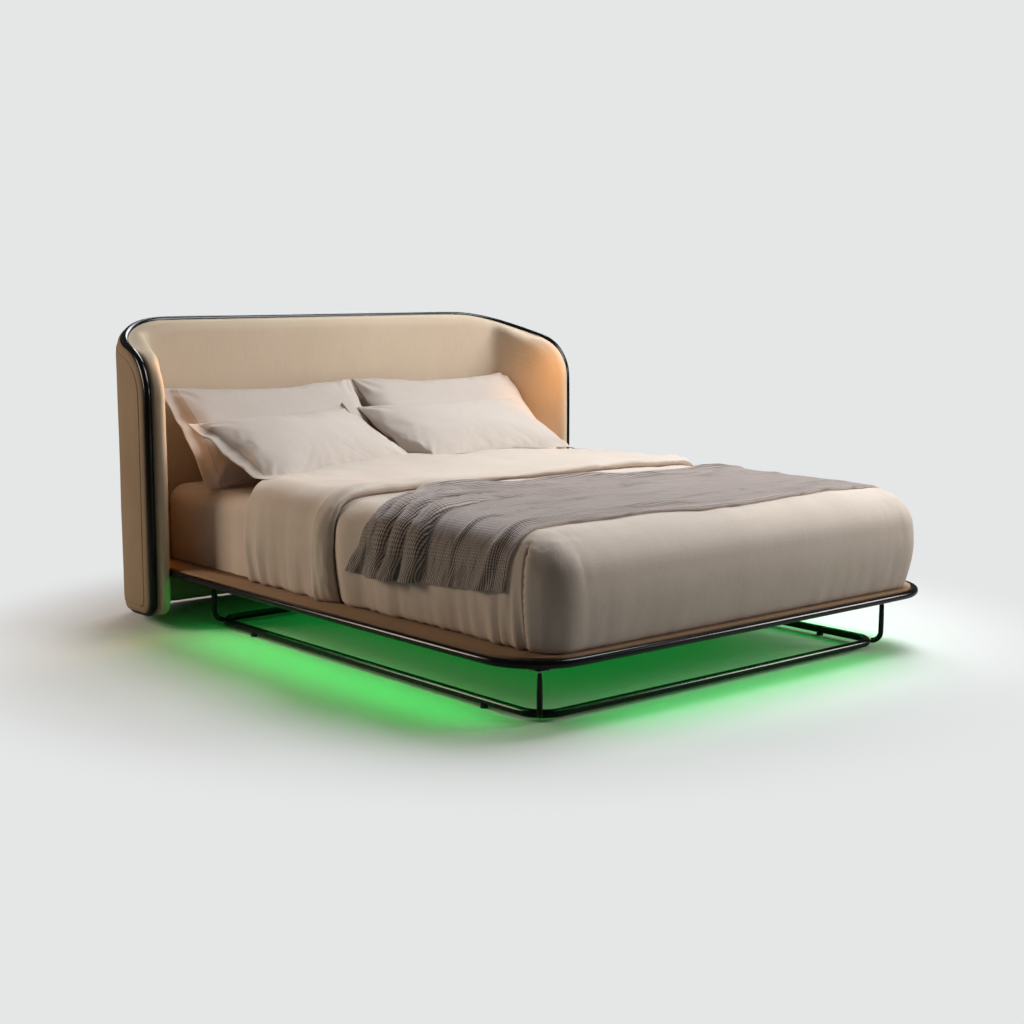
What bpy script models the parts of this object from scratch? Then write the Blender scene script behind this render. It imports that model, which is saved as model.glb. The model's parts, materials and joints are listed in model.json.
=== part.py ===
"""Double bed: a tubular steel base with a lit underside, a wrap-around upholstered headboard and its bedding.

Lengths are in metres and +Z is up. While a piece is made, X is measured from the bed's centre line, Y from
the mattress's foot end towards the head, and Z from the floor. The empty bed_origin then carries every piece
to the part's own frame, whose origin is the centre of the bed's footprint on the floor.
"""

import math

import bmesh
import bpy
from mathutils import Matrix, Vector

# Clearances
GAP = 0.0003
SOFT_GAP = 0.0005
DRAPE_GAP = 0.0008
OVERRUN = 0.02
MERGE_DISTANCE = 0.00001

# Mattress and fitted sheet
MATTRESS_WIDTH = 1.52
MATTRESS_LENGTH = 2.03
MATTRESS_HEIGHT = 0.26
MATTRESS_EDGE_RADIUS = 0.06
SHEET_THICKNESS = 0.0015

# Platform: the tube loop round the deck, and the deck's steel frame
PLATFORM_TUBE_RADIUS = 0.0125
PLATFORM_HEIGHT = 0.193
PLATFORM_SIDE_MARGIN = 0.123
PLATFORM_FOOT_MARGIN = 0.0875
PLATFORM_HEAD_MARGIN = 0.0315
PLATFORM_CORNER_RADIUS = 0.194
DECK_STAND = 0.0033
RIM_THICKNESS = 0.0125
SLAT_COUNT = 10
SLAT_WIDTH = 0.07
SLAT_THICKNESS = 0.012
RAIL_WIDTH = 0.02
RAIL_HEIGHT = 0.034
RAIL_WALL = 0.002
BEAM_WIDTH = 0.03
HEAD_RAIL_SETBACK = 0.05
ARM_WIDTH = 0.04
ARM_THICKNESS = 0.006
ARM_PLACE_SHARES = (0.2, 0.72)
FOOT_ARM_PLACE_SHARE = 0.55
STEEL_EDGE = 0.0008
WOOD_EDGE = 0.002

# Floor ring, the uprights that stand on it, and their pads
RING_TUBE_RADIUS = 0.0125
RING_GROUND_CLEARANCE = 0.009
RING_SIDE_INSET = 0.151
RING_FOOT_INSET = 0.1265
RING_HEAD_INSET = 0.3325
RING_CORNER_RADIUS = 0.081
UPRIGHT_RADIUS = 0.0085
UPRIGHT_OFFSET = 0.008
UPRIGHT_BEND_RADIUS = 0.03
FLANGE_SIZE = 0.056
FLANGE_THICKNESS = 0.004
GLIDE_RADIUS = 0.011
RING_GLIDE_PLACE_SHARE = 0.72
HEADBOARD_GLIDE_PLACE_SHARE = 0.75

# Under-bed lighting
CHANNEL_WIDTH = 0.016
CHANNEL_HEIGHT = 0.008
CHANNEL_WALL = 0.0015
CHANNEL_INSET = 0.055
CHANNEL_END_SETBACK = 0.095
DIFFUSER_THICKNESS = 0.0014
DRIVER_LENGTH = 0.18
DRIVER_WIDTH = 0.05
DRIVER_HEIGHT = 0.026
DRIVER_PLACE_SHARE = 0.35

# Headboard: the tube's path in plan and its height along the path
HEADBOARD_TUBE_RADIUS = 0.0125
HEADBOARD_BACK_GAP = 0.159
HEADBOARD_SIDE_GAP = 0.185
HEADBOARD_FRONT_SETBACK = 0.2455
HEADBOARD_CORNER_RADIUS = 0.299
HEADBOARD_FLARE = math.radians(5.7)
HEADBOARD_BACK_TOP = 1.042
HEADBOARD_FRONT_TOP = 0.936
HEADBOARD_FRONT_BOTTOM = 0.055
HEADBOARD_SLOPE_LENGTH = 0.543
HEADBOARD_TOP_RADIUS = 0.144
HEADBOARD_BOTTOM_RADIUS = 0.05
PAD_BACK_GAP = 0.045
PAD_CORNER_GAP = 0.04
PAD_FLARE = math.radians(14.4)
PAD_FRONT_BULGE = 0.03
PAD_TOP_BULGE = 0.009
PAD_ROLL_SHARES = (0.22, 0.6)
CORE_EDGE_GAP = 0.0015
SHELL_THICKNESS = 0.022
SHELL_EDGE_INSET = 0.026
SHELL_ROLL_SHARES = (0.45, 0.85)
BRACKET_WIDTH = 0.06
BRACKET_THICKNESS = 0.006
BRACKET_PLATE_HEIGHT = 0.1
BRACKET_PLACE_SHARE = 0.55

# Duvet, its turned-down head end, and the throw across the foot
DUVET_SIDE_THICKNESS = 0.022
DUVET_SIDE_BULGE = 0.018
DUVET_FOOT_THICKNESS = 0.0575
DUVET_FOOT_BULGE = 0.03
DUVET_CORNER_FULLNESS = 0.022
DUVET_TOP_THICKNESS = 0.054
DUVET_CROWN = 0.01
DUVET_HEAD_SETBACK = 0.61
DUVET_HEAD_BOW = 0.21
TURNDOWN_LENGTH = 0.5
TURNDOWN_THICKNESS = 0.012
TURNDOWN_STEP = 0.006
HEAD_ROLL = 0.03
HEAD_EDGE_THICKNESS = 0.008
THROW_FOOT = 0.055
THROW_WIDTH = 0.74
THROW_THICKNESS = 0.005
THROW_HEM_SHARE = 0.66
THROW_LEFT_SPREAD = 0.03
THROW_RIGHT_SPREAD = 0.08
PLEAT_DEPTH = 0.014
PLEAT_COUNT = 3.5
THROW_CUT_COUNT = 14
DRAPE_ACROSS_SHARES = (-0.7, -0.4, 0, 0.4, 0.7)
DRAPE_DROP_SHARES = (0.22, 0.42, THROW_HEM_SHARE, 0.8)
DUVET_FOOT_SHARES = (0.3, 0.6, 1)
TURNDOWN_SHARES = (0.35, 0.68)
HEAD_ROLL_SHARES = (0, 0.1, 0.4, 1)

# Pillows
REAR_PILLOW_WIDTH = 0.78
REAR_PILLOW_DEPTH = 0.45
REAR_PILLOW_HEIGHT = 0.15
REAR_PILLOW_TILT = math.radians(45)
REAR_PILLOW_PLACE_SHARES = (-0.476, 0.563)
REAR_PILLOW_TOP_INSET = 0.03
FRONT_PILLOW_WIDTH = 0.74
FRONT_PILLOW_DEPTH = 0.37
FRONT_PILLOW_HEIGHT = 0.14
FRONT_PILLOW_TILT = math.radians(24)
FRONT_PILLOW_TURNS = (math.radians(9), 0)
FRONT_PILLOW_PLACE_SHARES = (-0.465, 0.545)
FRONT_PILLOW_SETBACK = 0.49
PILLOW_EDGE_HEIGHT = 0.03
PILLOW_CONTACT_SHARE = 0.72
PILLOW_DRAW_SHARE = 0.06
PILLOW_CAGE_SHARES = (0.42, 0.8)

# Facet counts
TUBE_RESOLUTION = 2
CORNER_SEGMENTS = 6
HEADBOARD_ARC_SEGMENTS = 6
GLIDE_SEGMENTS = 16
QUARTER_CUT_SHARES = (math.tan(math.radians(15)), math.tan(math.radians(30)))
EIGHTH_CUT_SHARES = (math.tan(math.radians(22.5)),)

# Sizes worked out from the values above
DECK_TOP = PLATFORM_HEIGHT + PLATFORM_TUBE_RADIUS + DECK_STAND
RAIL_TOP = DECK_TOP - SLAT_THICKNESS - GAP
RAIL_CENTRE_Z = RAIL_TOP - RAIL_HEIGHT / 2
RAIL_BOTTOM = RAIL_TOP - RAIL_HEIGHT
ARM_TOP = DECK_TOP - RIM_THICKNESS - GAP
ARM_CENTRE_Z = ARM_TOP - ARM_THICKNESS / 2
MATTRESS_BOTTOM = DECK_TOP + GAP
MATTRESS_TOP = MATTRESS_BOTTOM + MATTRESS_HEIGHT
HALF_MATTRESS = MATTRESS_WIDTH / 2
PLATFORM_HALF_WIDTH = HALF_MATTRESS + PLATFORM_SIDE_MARGIN
PLATFORM_FOOT = -PLATFORM_FOOT_MARGIN
PLATFORM_HEAD = MATTRESS_LENGTH + PLATFORM_HEAD_MARGIN
RING_Z = RING_GROUND_CLEARANCE + RING_TUBE_RADIUS
RING_HALF_WIDTH = PLATFORM_HALF_WIDTH - RING_SIDE_INSET
RING_FOOT = PLATFORM_FOOT + RING_FOOT_INSET
RING_HEAD = PLATFORM_HEAD - RING_HEAD_INSET
RING_LENGTH = RING_HEAD - RING_FOOT
RING_MIDDLE = (RING_HEAD + RING_FOOT) / 2
RAIL_X = RING_HALF_WIDTH + UPRIGHT_OFFSET
FOOT_RAIL_Y = RING_FOOT - UPRIGHT_OFFSET
UPRIGHT_HEAD_Y = RING_HEAD + UPRIGHT_OFFSET
HEAD_RAIL_Y = MATTRESS_LENGTH - HEAD_RAIL_SETBACK
RAIL_OUTER_X = RAIL_X + RAIL_WIDTH / 2
FOOT_RAIL_OUTER_Y = FOOT_RAIL_Y - RAIL_WIDTH / 2
HEAD_RAIL_OUTER_Y = HEAD_RAIL_Y + RAIL_WIDTH / 2
SHEET_OUTER = SOFT_GAP + SHEET_THICKNESS
DUVET_INNER = SHEET_OUTER + SOFT_GAP
PAD_BASE = HEADBOARD_TUBE_RADIUS + GAP
PAD_BACK_Y = MATTRESS_LENGTH + PAD_BACK_GAP
PAD_CORNER_X = HALF_MATTRESS + PAD_CORNER_GAP
BACK_TUBE_Y = MATTRESS_LENGTH + HEADBOARD_BACK_GAP
WING_TUBE_X = HALF_MATTRESS + HEADBOARD_SIDE_GAP
WING_FRONT_Y = MATTRESS_LENGTH - HEADBOARD_FRONT_SETBACK
HEADBOARD_BACK_BOTTOM = RING_GROUND_CLEARANCE + HEADBOARD_TUBE_RADIUS
FOOT_EXTREME = PLATFORM_FOOT - PLATFORM_TUBE_RADIUS
HEAD_EXTREME = BACK_TUBE_Y + PAD_BASE + SHELL_THICKNESS
DUVET_HEM = DECK_TOP + SOFT_GAP
DUVET_HEAD_SIDE = MATTRESS_LENGTH - DUVET_HEAD_SETBACK
DUVET_HEAD_MIDDLE = DUVET_HEAD_SIDE + DUVET_HEAD_BOW
TURNDOWN_FOOT = DUVET_HEAD_SIDE - TURNDOWN_LENGTH
THROW_HEAD = THROW_FOOT + THROW_WIDTH

# The finishes: colour, roughness and metallic value
FINISHES = {
    "black_steel": ((0.012, 0.012, 0.014), 0.28, 1.0),
    "frame_steel": ((0.03, 0.03, 0.032), 0.5, 1.0),
    "camel_velvet": ((0.42, 0.29, 0.17), 0.8, 0.0),
    "rim_velvet": ((0.30, 0.19, 0.10), 0.8, 0.0),
    "beech": ((0.62, 0.45, 0.27), 0.55, 0.0),
    "plywood": ((0.55, 0.40, 0.24), 0.6, 0.0),
    "rubber": ((0.02, 0.02, 0.02), 0.7, 0.0),
    "aluminium": ((0.6, 0.6, 0.62), 0.35, 1.0),
    "green_diffuser": ((0.05, 0.85, 0.2), 0.4, 0.0),
    "driver_plastic": ((0.05, 0.05, 0.05), 0.5, 0.0),
    "mattress_ticking": ((0.72, 0.68, 0.62), 0.85, 0.0),
    "taupe_cotton": ((0.42, 0.34, 0.27), 0.85, 0.0),
    "duvet_cotton": ((0.55, 0.46, 0.38), 0.85, 0.0),
    "throw_knit": ((0.16, 0.12, 0.10), 0.95, 0.0),
    "pillow_cotton": ((0.66, 0.57, 0.49), 0.85, 0.0),
}


def clear_scene():
    """Removes every object that the file opened with."""
    for obj in list(bpy.data.objects):
        bpy.data.objects.remove(obj, do_unlink=True)


def make_collection(name):
    """Adds a collection to the scene."""
    collection = bpy.data.collections.new(name)
    bpy.context.scene.collection.children.link(collection)
    return collection


def make_material(name):
    """A Principled material for one of the finishes."""
    colour, roughness, metallic = FINISHES[name]
    material = bpy.data.materials.new(name)
    material.use_nodes = True
    shader = material.node_tree.nodes["Principled BSDF"]
    shader.inputs["Base Color"].default_value = (*colour, 1)
    shader.inputs["Roughness"].default_value = roughness
    shader.inputs["Metallic"].default_value = metallic
    return material


clear_scene()
BED = make_collection("double_bed")
CUTTERS = make_collection("cutters")
ORIGIN = bpy.data.objects.new("bed_origin", None)
BED.objects.link(ORIGIN)
ORIGIN.location = (0, -(FOOT_EXTREME + HEAD_EXTREME) / 2, 0)
MATERIALS = {name: make_material(name) for name in FINISHES}


def add_piece(name, data, finish, location=(0, 0, 0), rotation=(0, 0, 0)):
    """Puts mesh or curve data into the bed as a named piece with a material of its own."""
    piece = bpy.data.objects.new(name, data)
    material = MATERIALS[finish].copy()
    material.name = name + "_finish"
    data.materials.append(material)
    BED.objects.link(piece)
    piece.parent = ORIGIN
    piece.location = location
    piece.rotation_euler = rotation
    return piece


def add_cutter(name, mesh, location=(0, 0, 0)):
    """Puts a mesh into the cutters' collection, out of the render."""
    cutter = bpy.data.objects.new(name, mesh)
    CUTTERS.objects.link(cutter)
    cutter.parent = ORIGIN
    cutter.location = location
    cutter.hide_render = True
    cutter.display_type = "WIRE"
    return cutter


def cut_piece(piece, cutter):
    """Takes a cutter's volume out of a piece."""
    boolean = piece.modifiers.new("cut_" + cutter.name, "BOOLEAN")
    boolean.operation = "DIFFERENCE"
    boolean.solver = "EXACT"
    boolean.object = cutter


def mesh_from(shape, name, smooth_angle=math.radians(40)):
    """Turns an edited shape into mesh data with smooth round faces."""
    mesh = bpy.data.meshes.new(name)
    shape.to_mesh(mesh)
    shape.free()
    mesh.shade_smooth()
    mesh.set_sharp_from_angle(angle=smooth_angle)
    return mesh


def box_mesh(name, size):
    """A box of the given size about its own origin."""
    shape = bmesh.new()
    bmesh.ops.create_cube(shape, size=1, matrix=Matrix.Diagonal((*size, 1)))
    return mesh_from(shape, name)


def add_box(name, size, location, finish, edge):
    """A box with its edges eased."""
    piece = add_piece(name, box_mesh(name, size), finish, location)
    bevel = piece.modifiers.new("eased_edges", "BEVEL")
    bevel.width = edge
    bevel.segments = 1
    return piece


def flat_outline(name, outlines, thickness):
    """A flat outline, with any holes as further outlines, thickened along its local Z."""
    curve = bpy.data.curves.new(name, "CURVE")
    curve.dimensions = "2D"
    curve.fill_mode = "BOTH"
    curve.extrude = thickness / 2
    for outline in outlines:
        spline = curve.splines.new("POLY")
        spline.points.add(len(outline) - 1)
        for point, (across, along) in zip(spline.points, outline):
            point.co = (across, along, 0, 1)
        spline.use_cyclic_u = True
    return curve


def round_bar(name, path, radius, cyclic):
    """A round bar or tube along a list of points."""
    curve = bpy.data.curves.new(name, "CURVE")
    curve.dimensions = "3D"
    curve.bevel_depth = radius
    curve.bevel_resolution = TUBE_RESOLUTION
    curve.use_fill_caps = not cyclic
    spline = curve.splines.new("POLY")
    spline.points.add(len(path) - 1)
    for point, place in zip(spline.points, path):
        point.co = (*place, 1)
    spline.use_cyclic_u = cyclic
    spline.use_smooth = True
    return curve


def curve_as_mesh(curve, name):
    """The mesh of a curve with its caps welded on."""
    holder = bpy.data.objects.new(name, curve)
    CUTTERS.objects.link(holder)
    graph = bpy.context.evaluated_depsgraph_get()
    mesh = bpy.data.meshes.new_from_object(holder.evaluated_get(graph))
    bpy.data.objects.remove(holder, do_unlink=True)
    shape = bmesh.new()
    shape.from_mesh(mesh)
    bmesh.ops.remove_doubles(shape, verts=shape.verts, dist=MERGE_DISTANCE)
    bmesh.ops.recalc_face_normals(shape, faces=shape.faces)
    return mesh_from(shape, name)


def rectangle(half_width, low, high):
    """The four corners of a rectangle."""
    return [(-half_width, low), (half_width, low), (half_width, high), (-half_width, high)]


def rounded_rectangle(half_width, low, high, radius):
    """A rectangle's outline with round corners, anticlockwise from its right side's foot corner."""
    corners = (
        (half_width - radius, low + radius, -math.pi / 2),
        (half_width - radius, high - radius, 0),
        (radius - half_width, high - radius, math.pi / 2),
        (radius - half_width, low + radius, math.pi),
    )
    outline = []
    for centre_x, centre_y, start in corners:
        for step in range(CORNER_SEGMENTS + 1):
            angle = start + math.pi / 2 * step / CORNER_SEGMENTS
            outline.append((centre_x + radius * math.cos(angle), centre_y + radius * math.sin(angle)))
    return outline


def platform_outline(growth):
    """The platform tube's centre line in plan, grown outwards."""
    return rounded_rectangle(
        PLATFORM_HALF_WIDTH + growth,
        PLATFORM_FOOT - growth,
        PLATFORM_HEAD + growth,
        PLATFORM_CORNER_RADIUS + growth,
    )


# Floor ring, uprights and glides


def make_floor_ring():
    """The closed loop of tube that stands on the floor."""
    outline = rounded_rectangle(RING_HALF_WIDTH, RING_FOOT, RING_HEAD, RING_CORNER_RADIUS)
    path = [(across, along, RING_Z) for across, along in outline]
    add_piece("floor_ring", round_bar("floor_ring", path, RING_TUBE_RADIUS, True), "black_steel")


def make_upright(name, side, end):
    """A bar that rises outside a corner of the ring and bends in to meet it on the diagonal."""
    corner_y = FOOT_RAIL_Y if end < 0 else UPRIGHT_HEAD_Y
    inset = RING_CORNER_RADIUS * (1 - math.sqrt(0.5))
    reach = (inset + UPRIGHT_OFFSET) * math.sqrt(2) - RING_TUBE_RADIUS - GAP
    inward = Vector((-side, -end, 0)).normalized()
    foot = Vector((side * RAIL_X, corner_y, RING_Z))
    top = Vector((side * RAIL_X, corner_y, RAIL_BOTTOM - FLANGE_THICKNESS - 2 * GAP))
    centre = foot + inward * UPRIGHT_BEND_RADIUS + Vector((0, 0, UPRIGHT_BEND_RADIUS))
    path = [top]
    for step in range(CORNER_SEGMENTS + 1):
        angle = math.pi / 2 * step / CORNER_SEGMENTS
        path.append(
            centre
            - inward * (UPRIGHT_BEND_RADIUS * math.cos(angle))
            - Vector((0, 0, UPRIGHT_BEND_RADIUS * math.sin(angle)))
        )
    path.append(foot + inward * reach)
    add_piece(name, round_bar(name, path, UPRIGHT_RADIUS, False), "black_steel")
    add_box(
        name.replace("upright", "flange"),
        (FLANGE_SIZE, FLANGE_SIZE, FLANGE_THICKNESS),
        (side * RAIL_X, corner_y, RAIL_BOTTOM - GAP - FLANGE_THICKNESS / 2),
        "frame_steel",
        STEEL_EDGE,
    )


def make_glide(name, across, along):
    """A round pad between the floor and a tube."""
    height = RING_GROUND_CLEARANCE - GAP
    shape = bmesh.new()
    bmesh.ops.create_cone(
        shape,
        cap_ends=True,
        segments=GLIDE_SEGMENTS,
        radius1=GLIDE_RADIUS,
        radius2=GLIDE_RADIUS,
        depth=height,
    )
    add_piece(name, mesh_from(shape, name), "rubber", (across, along, height / 2))


def make_base():
    """The ring, its four uprights, and the glides under the ring and under the headboard."""
    make_floor_ring()
    for side, side_name in ((-1, "left"), (1, "right")):
        for end, end_name in ((-1, "foot"), (1, "head")):
            make_upright(f"upright_{end_name}_{side_name}", side, end)
            along = RING_MIDDLE + end * RING_GLIDE_PLACE_SHARE * RING_LENGTH / 2
            make_glide(f"glide_{end_name}_{side_name}", side * RING_HALF_WIDTH, along)
        across = side * HEADBOARD_GLIDE_PLACE_SHARE * headboard_arc_start()
        make_glide(f"glide_headboard_{side_name}", across, BACK_TUBE_Y)


# Platform


def add_rail(name, width, length, location, turn):
    """A rectangular steel tube, along Y, or along X where it is turned."""
    outer = rectangle(width / 2, -RAIL_HEIGHT / 2, RAIL_HEIGHT / 2)
    inner = rectangle(width / 2 - RAIL_WALL, RAIL_WALL - RAIL_HEIGHT / 2, RAIL_HEIGHT / 2 - RAIL_WALL)
    tube = flat_outline(name, (outer, inner), length)
    add_piece(name, tube, "frame_steel", location, (math.pi / 2, 0, turn))


def make_deck_frame():
    """The steel frame that the slats lie on."""
    side_length = HEAD_RAIL_OUTER_Y - FOOT_RAIL_OUTER_Y
    side_middle = (HEAD_RAIL_OUTER_Y + FOOT_RAIL_OUTER_Y) / 2
    cross_length = 2 * (RAIL_X - RAIL_WIDTH / 2 - GAP)
    beam_length = HEAD_RAIL_Y - FOOT_RAIL_Y - RAIL_WIDTH - 2 * GAP
    for side, side_name in ((-1, "left"), (1, "right")):
        place = (side * RAIL_X, side_middle, RAIL_CENTRE_Z)
        add_rail("side_rail_" + side_name, RAIL_WIDTH, side_length, place, 0)
    add_rail("foot_rail", RAIL_WIDTH, cross_length, (0, FOOT_RAIL_Y, RAIL_CENTRE_Z), math.pi / 2)
    add_rail("head_rail", RAIL_WIDTH, cross_length, (0, HEAD_RAIL_Y, RAIL_CENTRE_Z), math.pi / 2)
    beam_middle = (FOOT_RAIL_Y + HEAD_RAIL_Y) / 2
    add_rail("centre_beam", BEAM_WIDTH, beam_length, (0, beam_middle, RAIL_CENTRE_Z), 0)


def make_arms():
    """The flat arms that carry the platform tube and the rim from the frame."""
    tube_side = PLATFORM_TUBE_RADIUS + GAP
    side_inner = RAIL_OUTER_X + GAP
    side_outer = PLATFORM_HALF_WIDTH - tube_side
    side_size = (side_outer - side_inner, ARM_WIDTH, ARM_THICKNESS)
    for side, side_name in ((-1, "left"), (1, "right")):
        for number, share in enumerate(ARM_PLACE_SHARES, 1):
            place = (side * (side_inner + side_outer) / 2, share * MATTRESS_LENGTH, ARM_CENTRE_Z)
            add_box(f"arm_{side_name}_{number}", side_size, place, "frame_steel", STEEL_EDGE)
        foot_inner = FOOT_RAIL_OUTER_Y - GAP
        foot_outer = PLATFORM_FOOT + tube_side
        foot_size = (ARM_WIDTH, foot_inner - foot_outer, ARM_THICKNESS)
        place = (side * FOOT_ARM_PLACE_SHARE * RAIL_X, (foot_inner + foot_outer) / 2, ARM_CENTRE_Z)
        add_box("arm_foot_" + side_name, foot_size, place, "frame_steel", STEEL_EDGE)


def make_slats():
    """The slats across the frame, from the foot rail to the head rail."""
    first = FOOT_RAIL_OUTER_Y + SLAT_WIDTH / 2
    last = HEAD_RAIL_OUTER_Y - SLAT_WIDTH / 2
    size = (2 * RAIL_OUTER_X, SLAT_WIDTH, SLAT_THICKNESS)
    for number in range(SLAT_COUNT):
        along = first + (last - first) * number / (SLAT_COUNT - 1)
        place = (0, along, DECK_TOP - SLAT_THICKNESS / 2)
        add_box(f"slat_{number + 1:02d}", size, place, "beech", WOOD_EDGE)


def make_rim():
    """The upholstered border between the slats and the platform tube."""
    outer = platform_outline(-PLATFORM_TUBE_RADIUS - GAP)
    inner = rectangle(RAIL_OUTER_X + GAP, FOOT_RAIL_OUTER_Y - GAP, HEAD_RAIL_OUTER_Y + GAP)
    curve = flat_outline("rim", (outer, inner), RIM_THICKNESS)
    add_piece("rim", curve, "rim_velvet", (0, 0, DECK_TOP - RIM_THICKNESS / 2))


def make_platform_tube():
    """The loop of tube round the platform."""
    path = [(across, along, PLATFORM_HEIGHT) for across, along in platform_outline(0)]
    add_piece("platform_tube", round_bar("platform_tube", path, PLATFORM_TUBE_RADIUS, True), "black_steel")


def add_light(name, length, location, turn):
    """An aluminium channel with its mouth down, and the diffuser in the mouth."""
    half = CHANNEL_WIDTH / 2
    inner = half - CHANNEL_WALL
    crown = CHANNEL_HEIGHT / 2
    outline = (
        (-half, -crown),
        (CHANNEL_WALL - half, -crown),
        (CHANNEL_WALL - half, crown - CHANNEL_WALL),
        (half - CHANNEL_WALL, crown - CHANNEL_WALL),
        (half - CHANNEL_WALL, -crown),
        (half, -crown),
        (half, crown),
        (-half, crown),
    )
    curve = flat_outline("led_channel_" + name, (outline,), length)
    add_piece("led_channel_" + name, curve, "aluminium", location, (math.pi / 2, 0, turn))
    width = 2 * (inner - GAP)
    size = (length, width, DIFFUSER_THICKNESS) if turn else (width, length, DIFFUSER_THICKNESS)
    place = (location[0], location[1], location[2] - crown + DIFFUSER_THICKNESS / 2)
    add_piece("led_diffuser_" + name, box_mesh(name, size), "green_diffuser", place)


def make_lights():
    """The three lit channels under the arms and the driver that feeds them."""
    height = ARM_TOP - ARM_THICKNESS - GAP - CHANNEL_HEIGHT / 2
    across = RAIL_OUTER_X + CHANNEL_INSET
    side_length = RING_LENGTH - 2 * CHANNEL_END_SETBACK
    foot_length = 2 * (RING_HALF_WIDTH - CHANNEL_END_SETBACK)
    add_light("left", side_length, (-across, RING_MIDDLE, height), 0)
    add_light("right", side_length, (across, RING_MIDDLE, height), 0)
    add_light("foot", foot_length, (0, FOOT_RAIL_OUTER_Y - CHANNEL_INSET, height), math.pi / 2)
    size = (DRIVER_LENGTH, DRIVER_WIDTH, DRIVER_HEIGHT)
    place = (DRIVER_PLACE_SHARE * RAIL_X, HEAD_RAIL_Y, RAIL_BOTTOM - GAP - DRIVER_HEIGHT / 2)
    add_box("led_driver", size, place, "driver_plastic", WOOD_EDGE)


def make_platform():
    """Everything between the uprights and the mattress."""
    make_deck_frame()
    make_arms()
    make_slats()
    make_rim()
    make_platform_tube()
    make_lights()


# Headboard, whose layers are flat rounded panels wrapped round a path in plan


def headboard_wing_length():
    """The straight run of the path along one wing."""
    rise = BACK_TUBE_Y - HEADBOARD_CORNER_RADIUS * (1 - math.sin(HEADBOARD_FLARE)) - WING_FRONT_Y
    return rise / math.cos(HEADBOARD_FLARE)


def headboard_arc_start():
    """How far from the centre line the path's corner begins."""
    wing = headboard_wing_length() * math.sin(HEADBOARD_FLARE)
    return WING_TUBE_X - HEADBOARD_CORNER_RADIUS * math.cos(HEADBOARD_FLARE) - wing


def headboard_arc_length():
    """The length of one of the path's corners."""
    return HEADBOARD_CORNER_RADIUS * (math.pi / 2 - HEADBOARD_FLARE)


def headboard_half_length():
    """Half of the path, from the centre line to a wing's front."""
    return headboard_arc_start() + headboard_arc_length() + headboard_wing_length()


def headboard_plan(run):
    """The path's point in plan and its inward normal, at a distance along it from the centre line."""
    side = -1 if run < 0 else 1
    run = abs(run)
    start = headboard_arc_start()
    turn = min(max(run - start, 0), headboard_arc_length()) / HEADBOARD_CORNER_RADIUS
    across = min(run, start) + HEADBOARD_CORNER_RADIUS * math.sin(turn)
    along = BACK_TUBE_Y - HEADBOARD_CORNER_RADIUS * (1 - math.cos(turn))
    straight = max(run - start - headboard_arc_length(), 0)
    across += straight * math.cos(turn)
    along -= straight * math.sin(turn)
    return Vector((side * across, along)), Vector((-side * math.sin(turn), -math.cos(turn)))


def headboard_swell(run):
    """How far the top has risen and the bottom has dropped from their heights at the wing's front."""
    behind = headboard_half_length() - abs(run)
    share = min(max(behind / HEADBOARD_SLOPE_LENGTH, 0), 1)
    ease = (1 - math.cos(math.pi * share)) / 2
    rise = (HEADBOARD_BACK_TOP - HEADBOARD_FRONT_TOP) * ease
    drop = (HEADBOARD_FRONT_BOTTOM - HEADBOARD_BACK_BOTTOM) * ease
    return rise, drop


def wrap(run, height, depth):
    """A point of the unrolled headboard in the bed: along the path, up, and in from the path."""
    place, inward = headboard_plan(run)
    rise, drop = headboard_swell(run)
    share = (height - HEADBOARD_FRONT_BOTTOM) / (HEADBOARD_FRONT_TOP - HEADBOARD_FRONT_BOTTOM)
    place = place + inward * depth
    return Vector((place.x, place.y, height + rise * share - drop * (1 - share)))


def pad_depth(run):
    """How deep the inner pad reaches in from the path: to its flat back face or to its wing's face."""
    place, inward = headboard_plan(abs(run))
    corner = Vector((PAD_CORNER_X, PAD_BACK_Y))
    back_face = Vector((0, 1))
    wing_face = Vector((math.cos(PAD_FLARE), math.sin(PAD_FLARE)))
    depths = []
    for face in (back_face, wing_face):
        outside = (place - corner).dot(face)
        facing = -inward.dot(face)
        if outside > 0 and facing > MERGE_DISTANCE:
            depths.append(outside / facing)
    return min(depths)


def round_panel(run, height, growth):
    """Rounds a panel's corners in the unrolled plane and grows its outline."""
    half = headboard_half_length()
    upper = height > (HEADBOARD_FRONT_TOP + HEADBOARD_FRONT_BOTTOM) / 2
    radius = HEADBOARD_TOP_RADIUS if upper else HEADBOARD_BOTTOM_RADIUS
    core_run = min(max(run, radius - half), half - radius)
    core_height = min(max(height, HEADBOARD_FRONT_BOTTOM + radius), HEADBOARD_FRONT_TOP - radius)
    offset = Vector((run - core_run, height - core_height))
    ring = max(abs(offset.x), abs(offset.y))
    if ring < MERGE_DISTANCE:
        return run, height
    outward = offset.normalized()
    if ring > radius - MERGE_DISTANCE:
        ring += growth(abs(outward.x))
    return core_run + outward.x * ring, core_height + outward.y * ring


def headboard_columns():
    """Where the panels are cut along the path, so that every layer has the same facets."""
    half = headboard_half_length()
    fronts = [0, HEADBOARD_BOTTOM_RADIUS, HEADBOARD_TOP_RADIUS]
    fronts += [HEADBOARD_BOTTOM_RADIUS * (1 - share) for share in EIGHTH_CUT_SHARES]
    fronts += [HEADBOARD_TOP_RADIUS * (1 - share) for share in QUARTER_CUT_SHARES]
    columns = [half - front for front in fronts]
    start = headboard_arc_start()
    for step in range(HEADBOARD_ARC_SEGMENTS):
        columns.append(start + headboard_arc_length() * step / HEADBOARD_ARC_SEGMENTS)
    columns.append(start / 2)
    return sorted(columns + [-column for column in columns] + [0])


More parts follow.
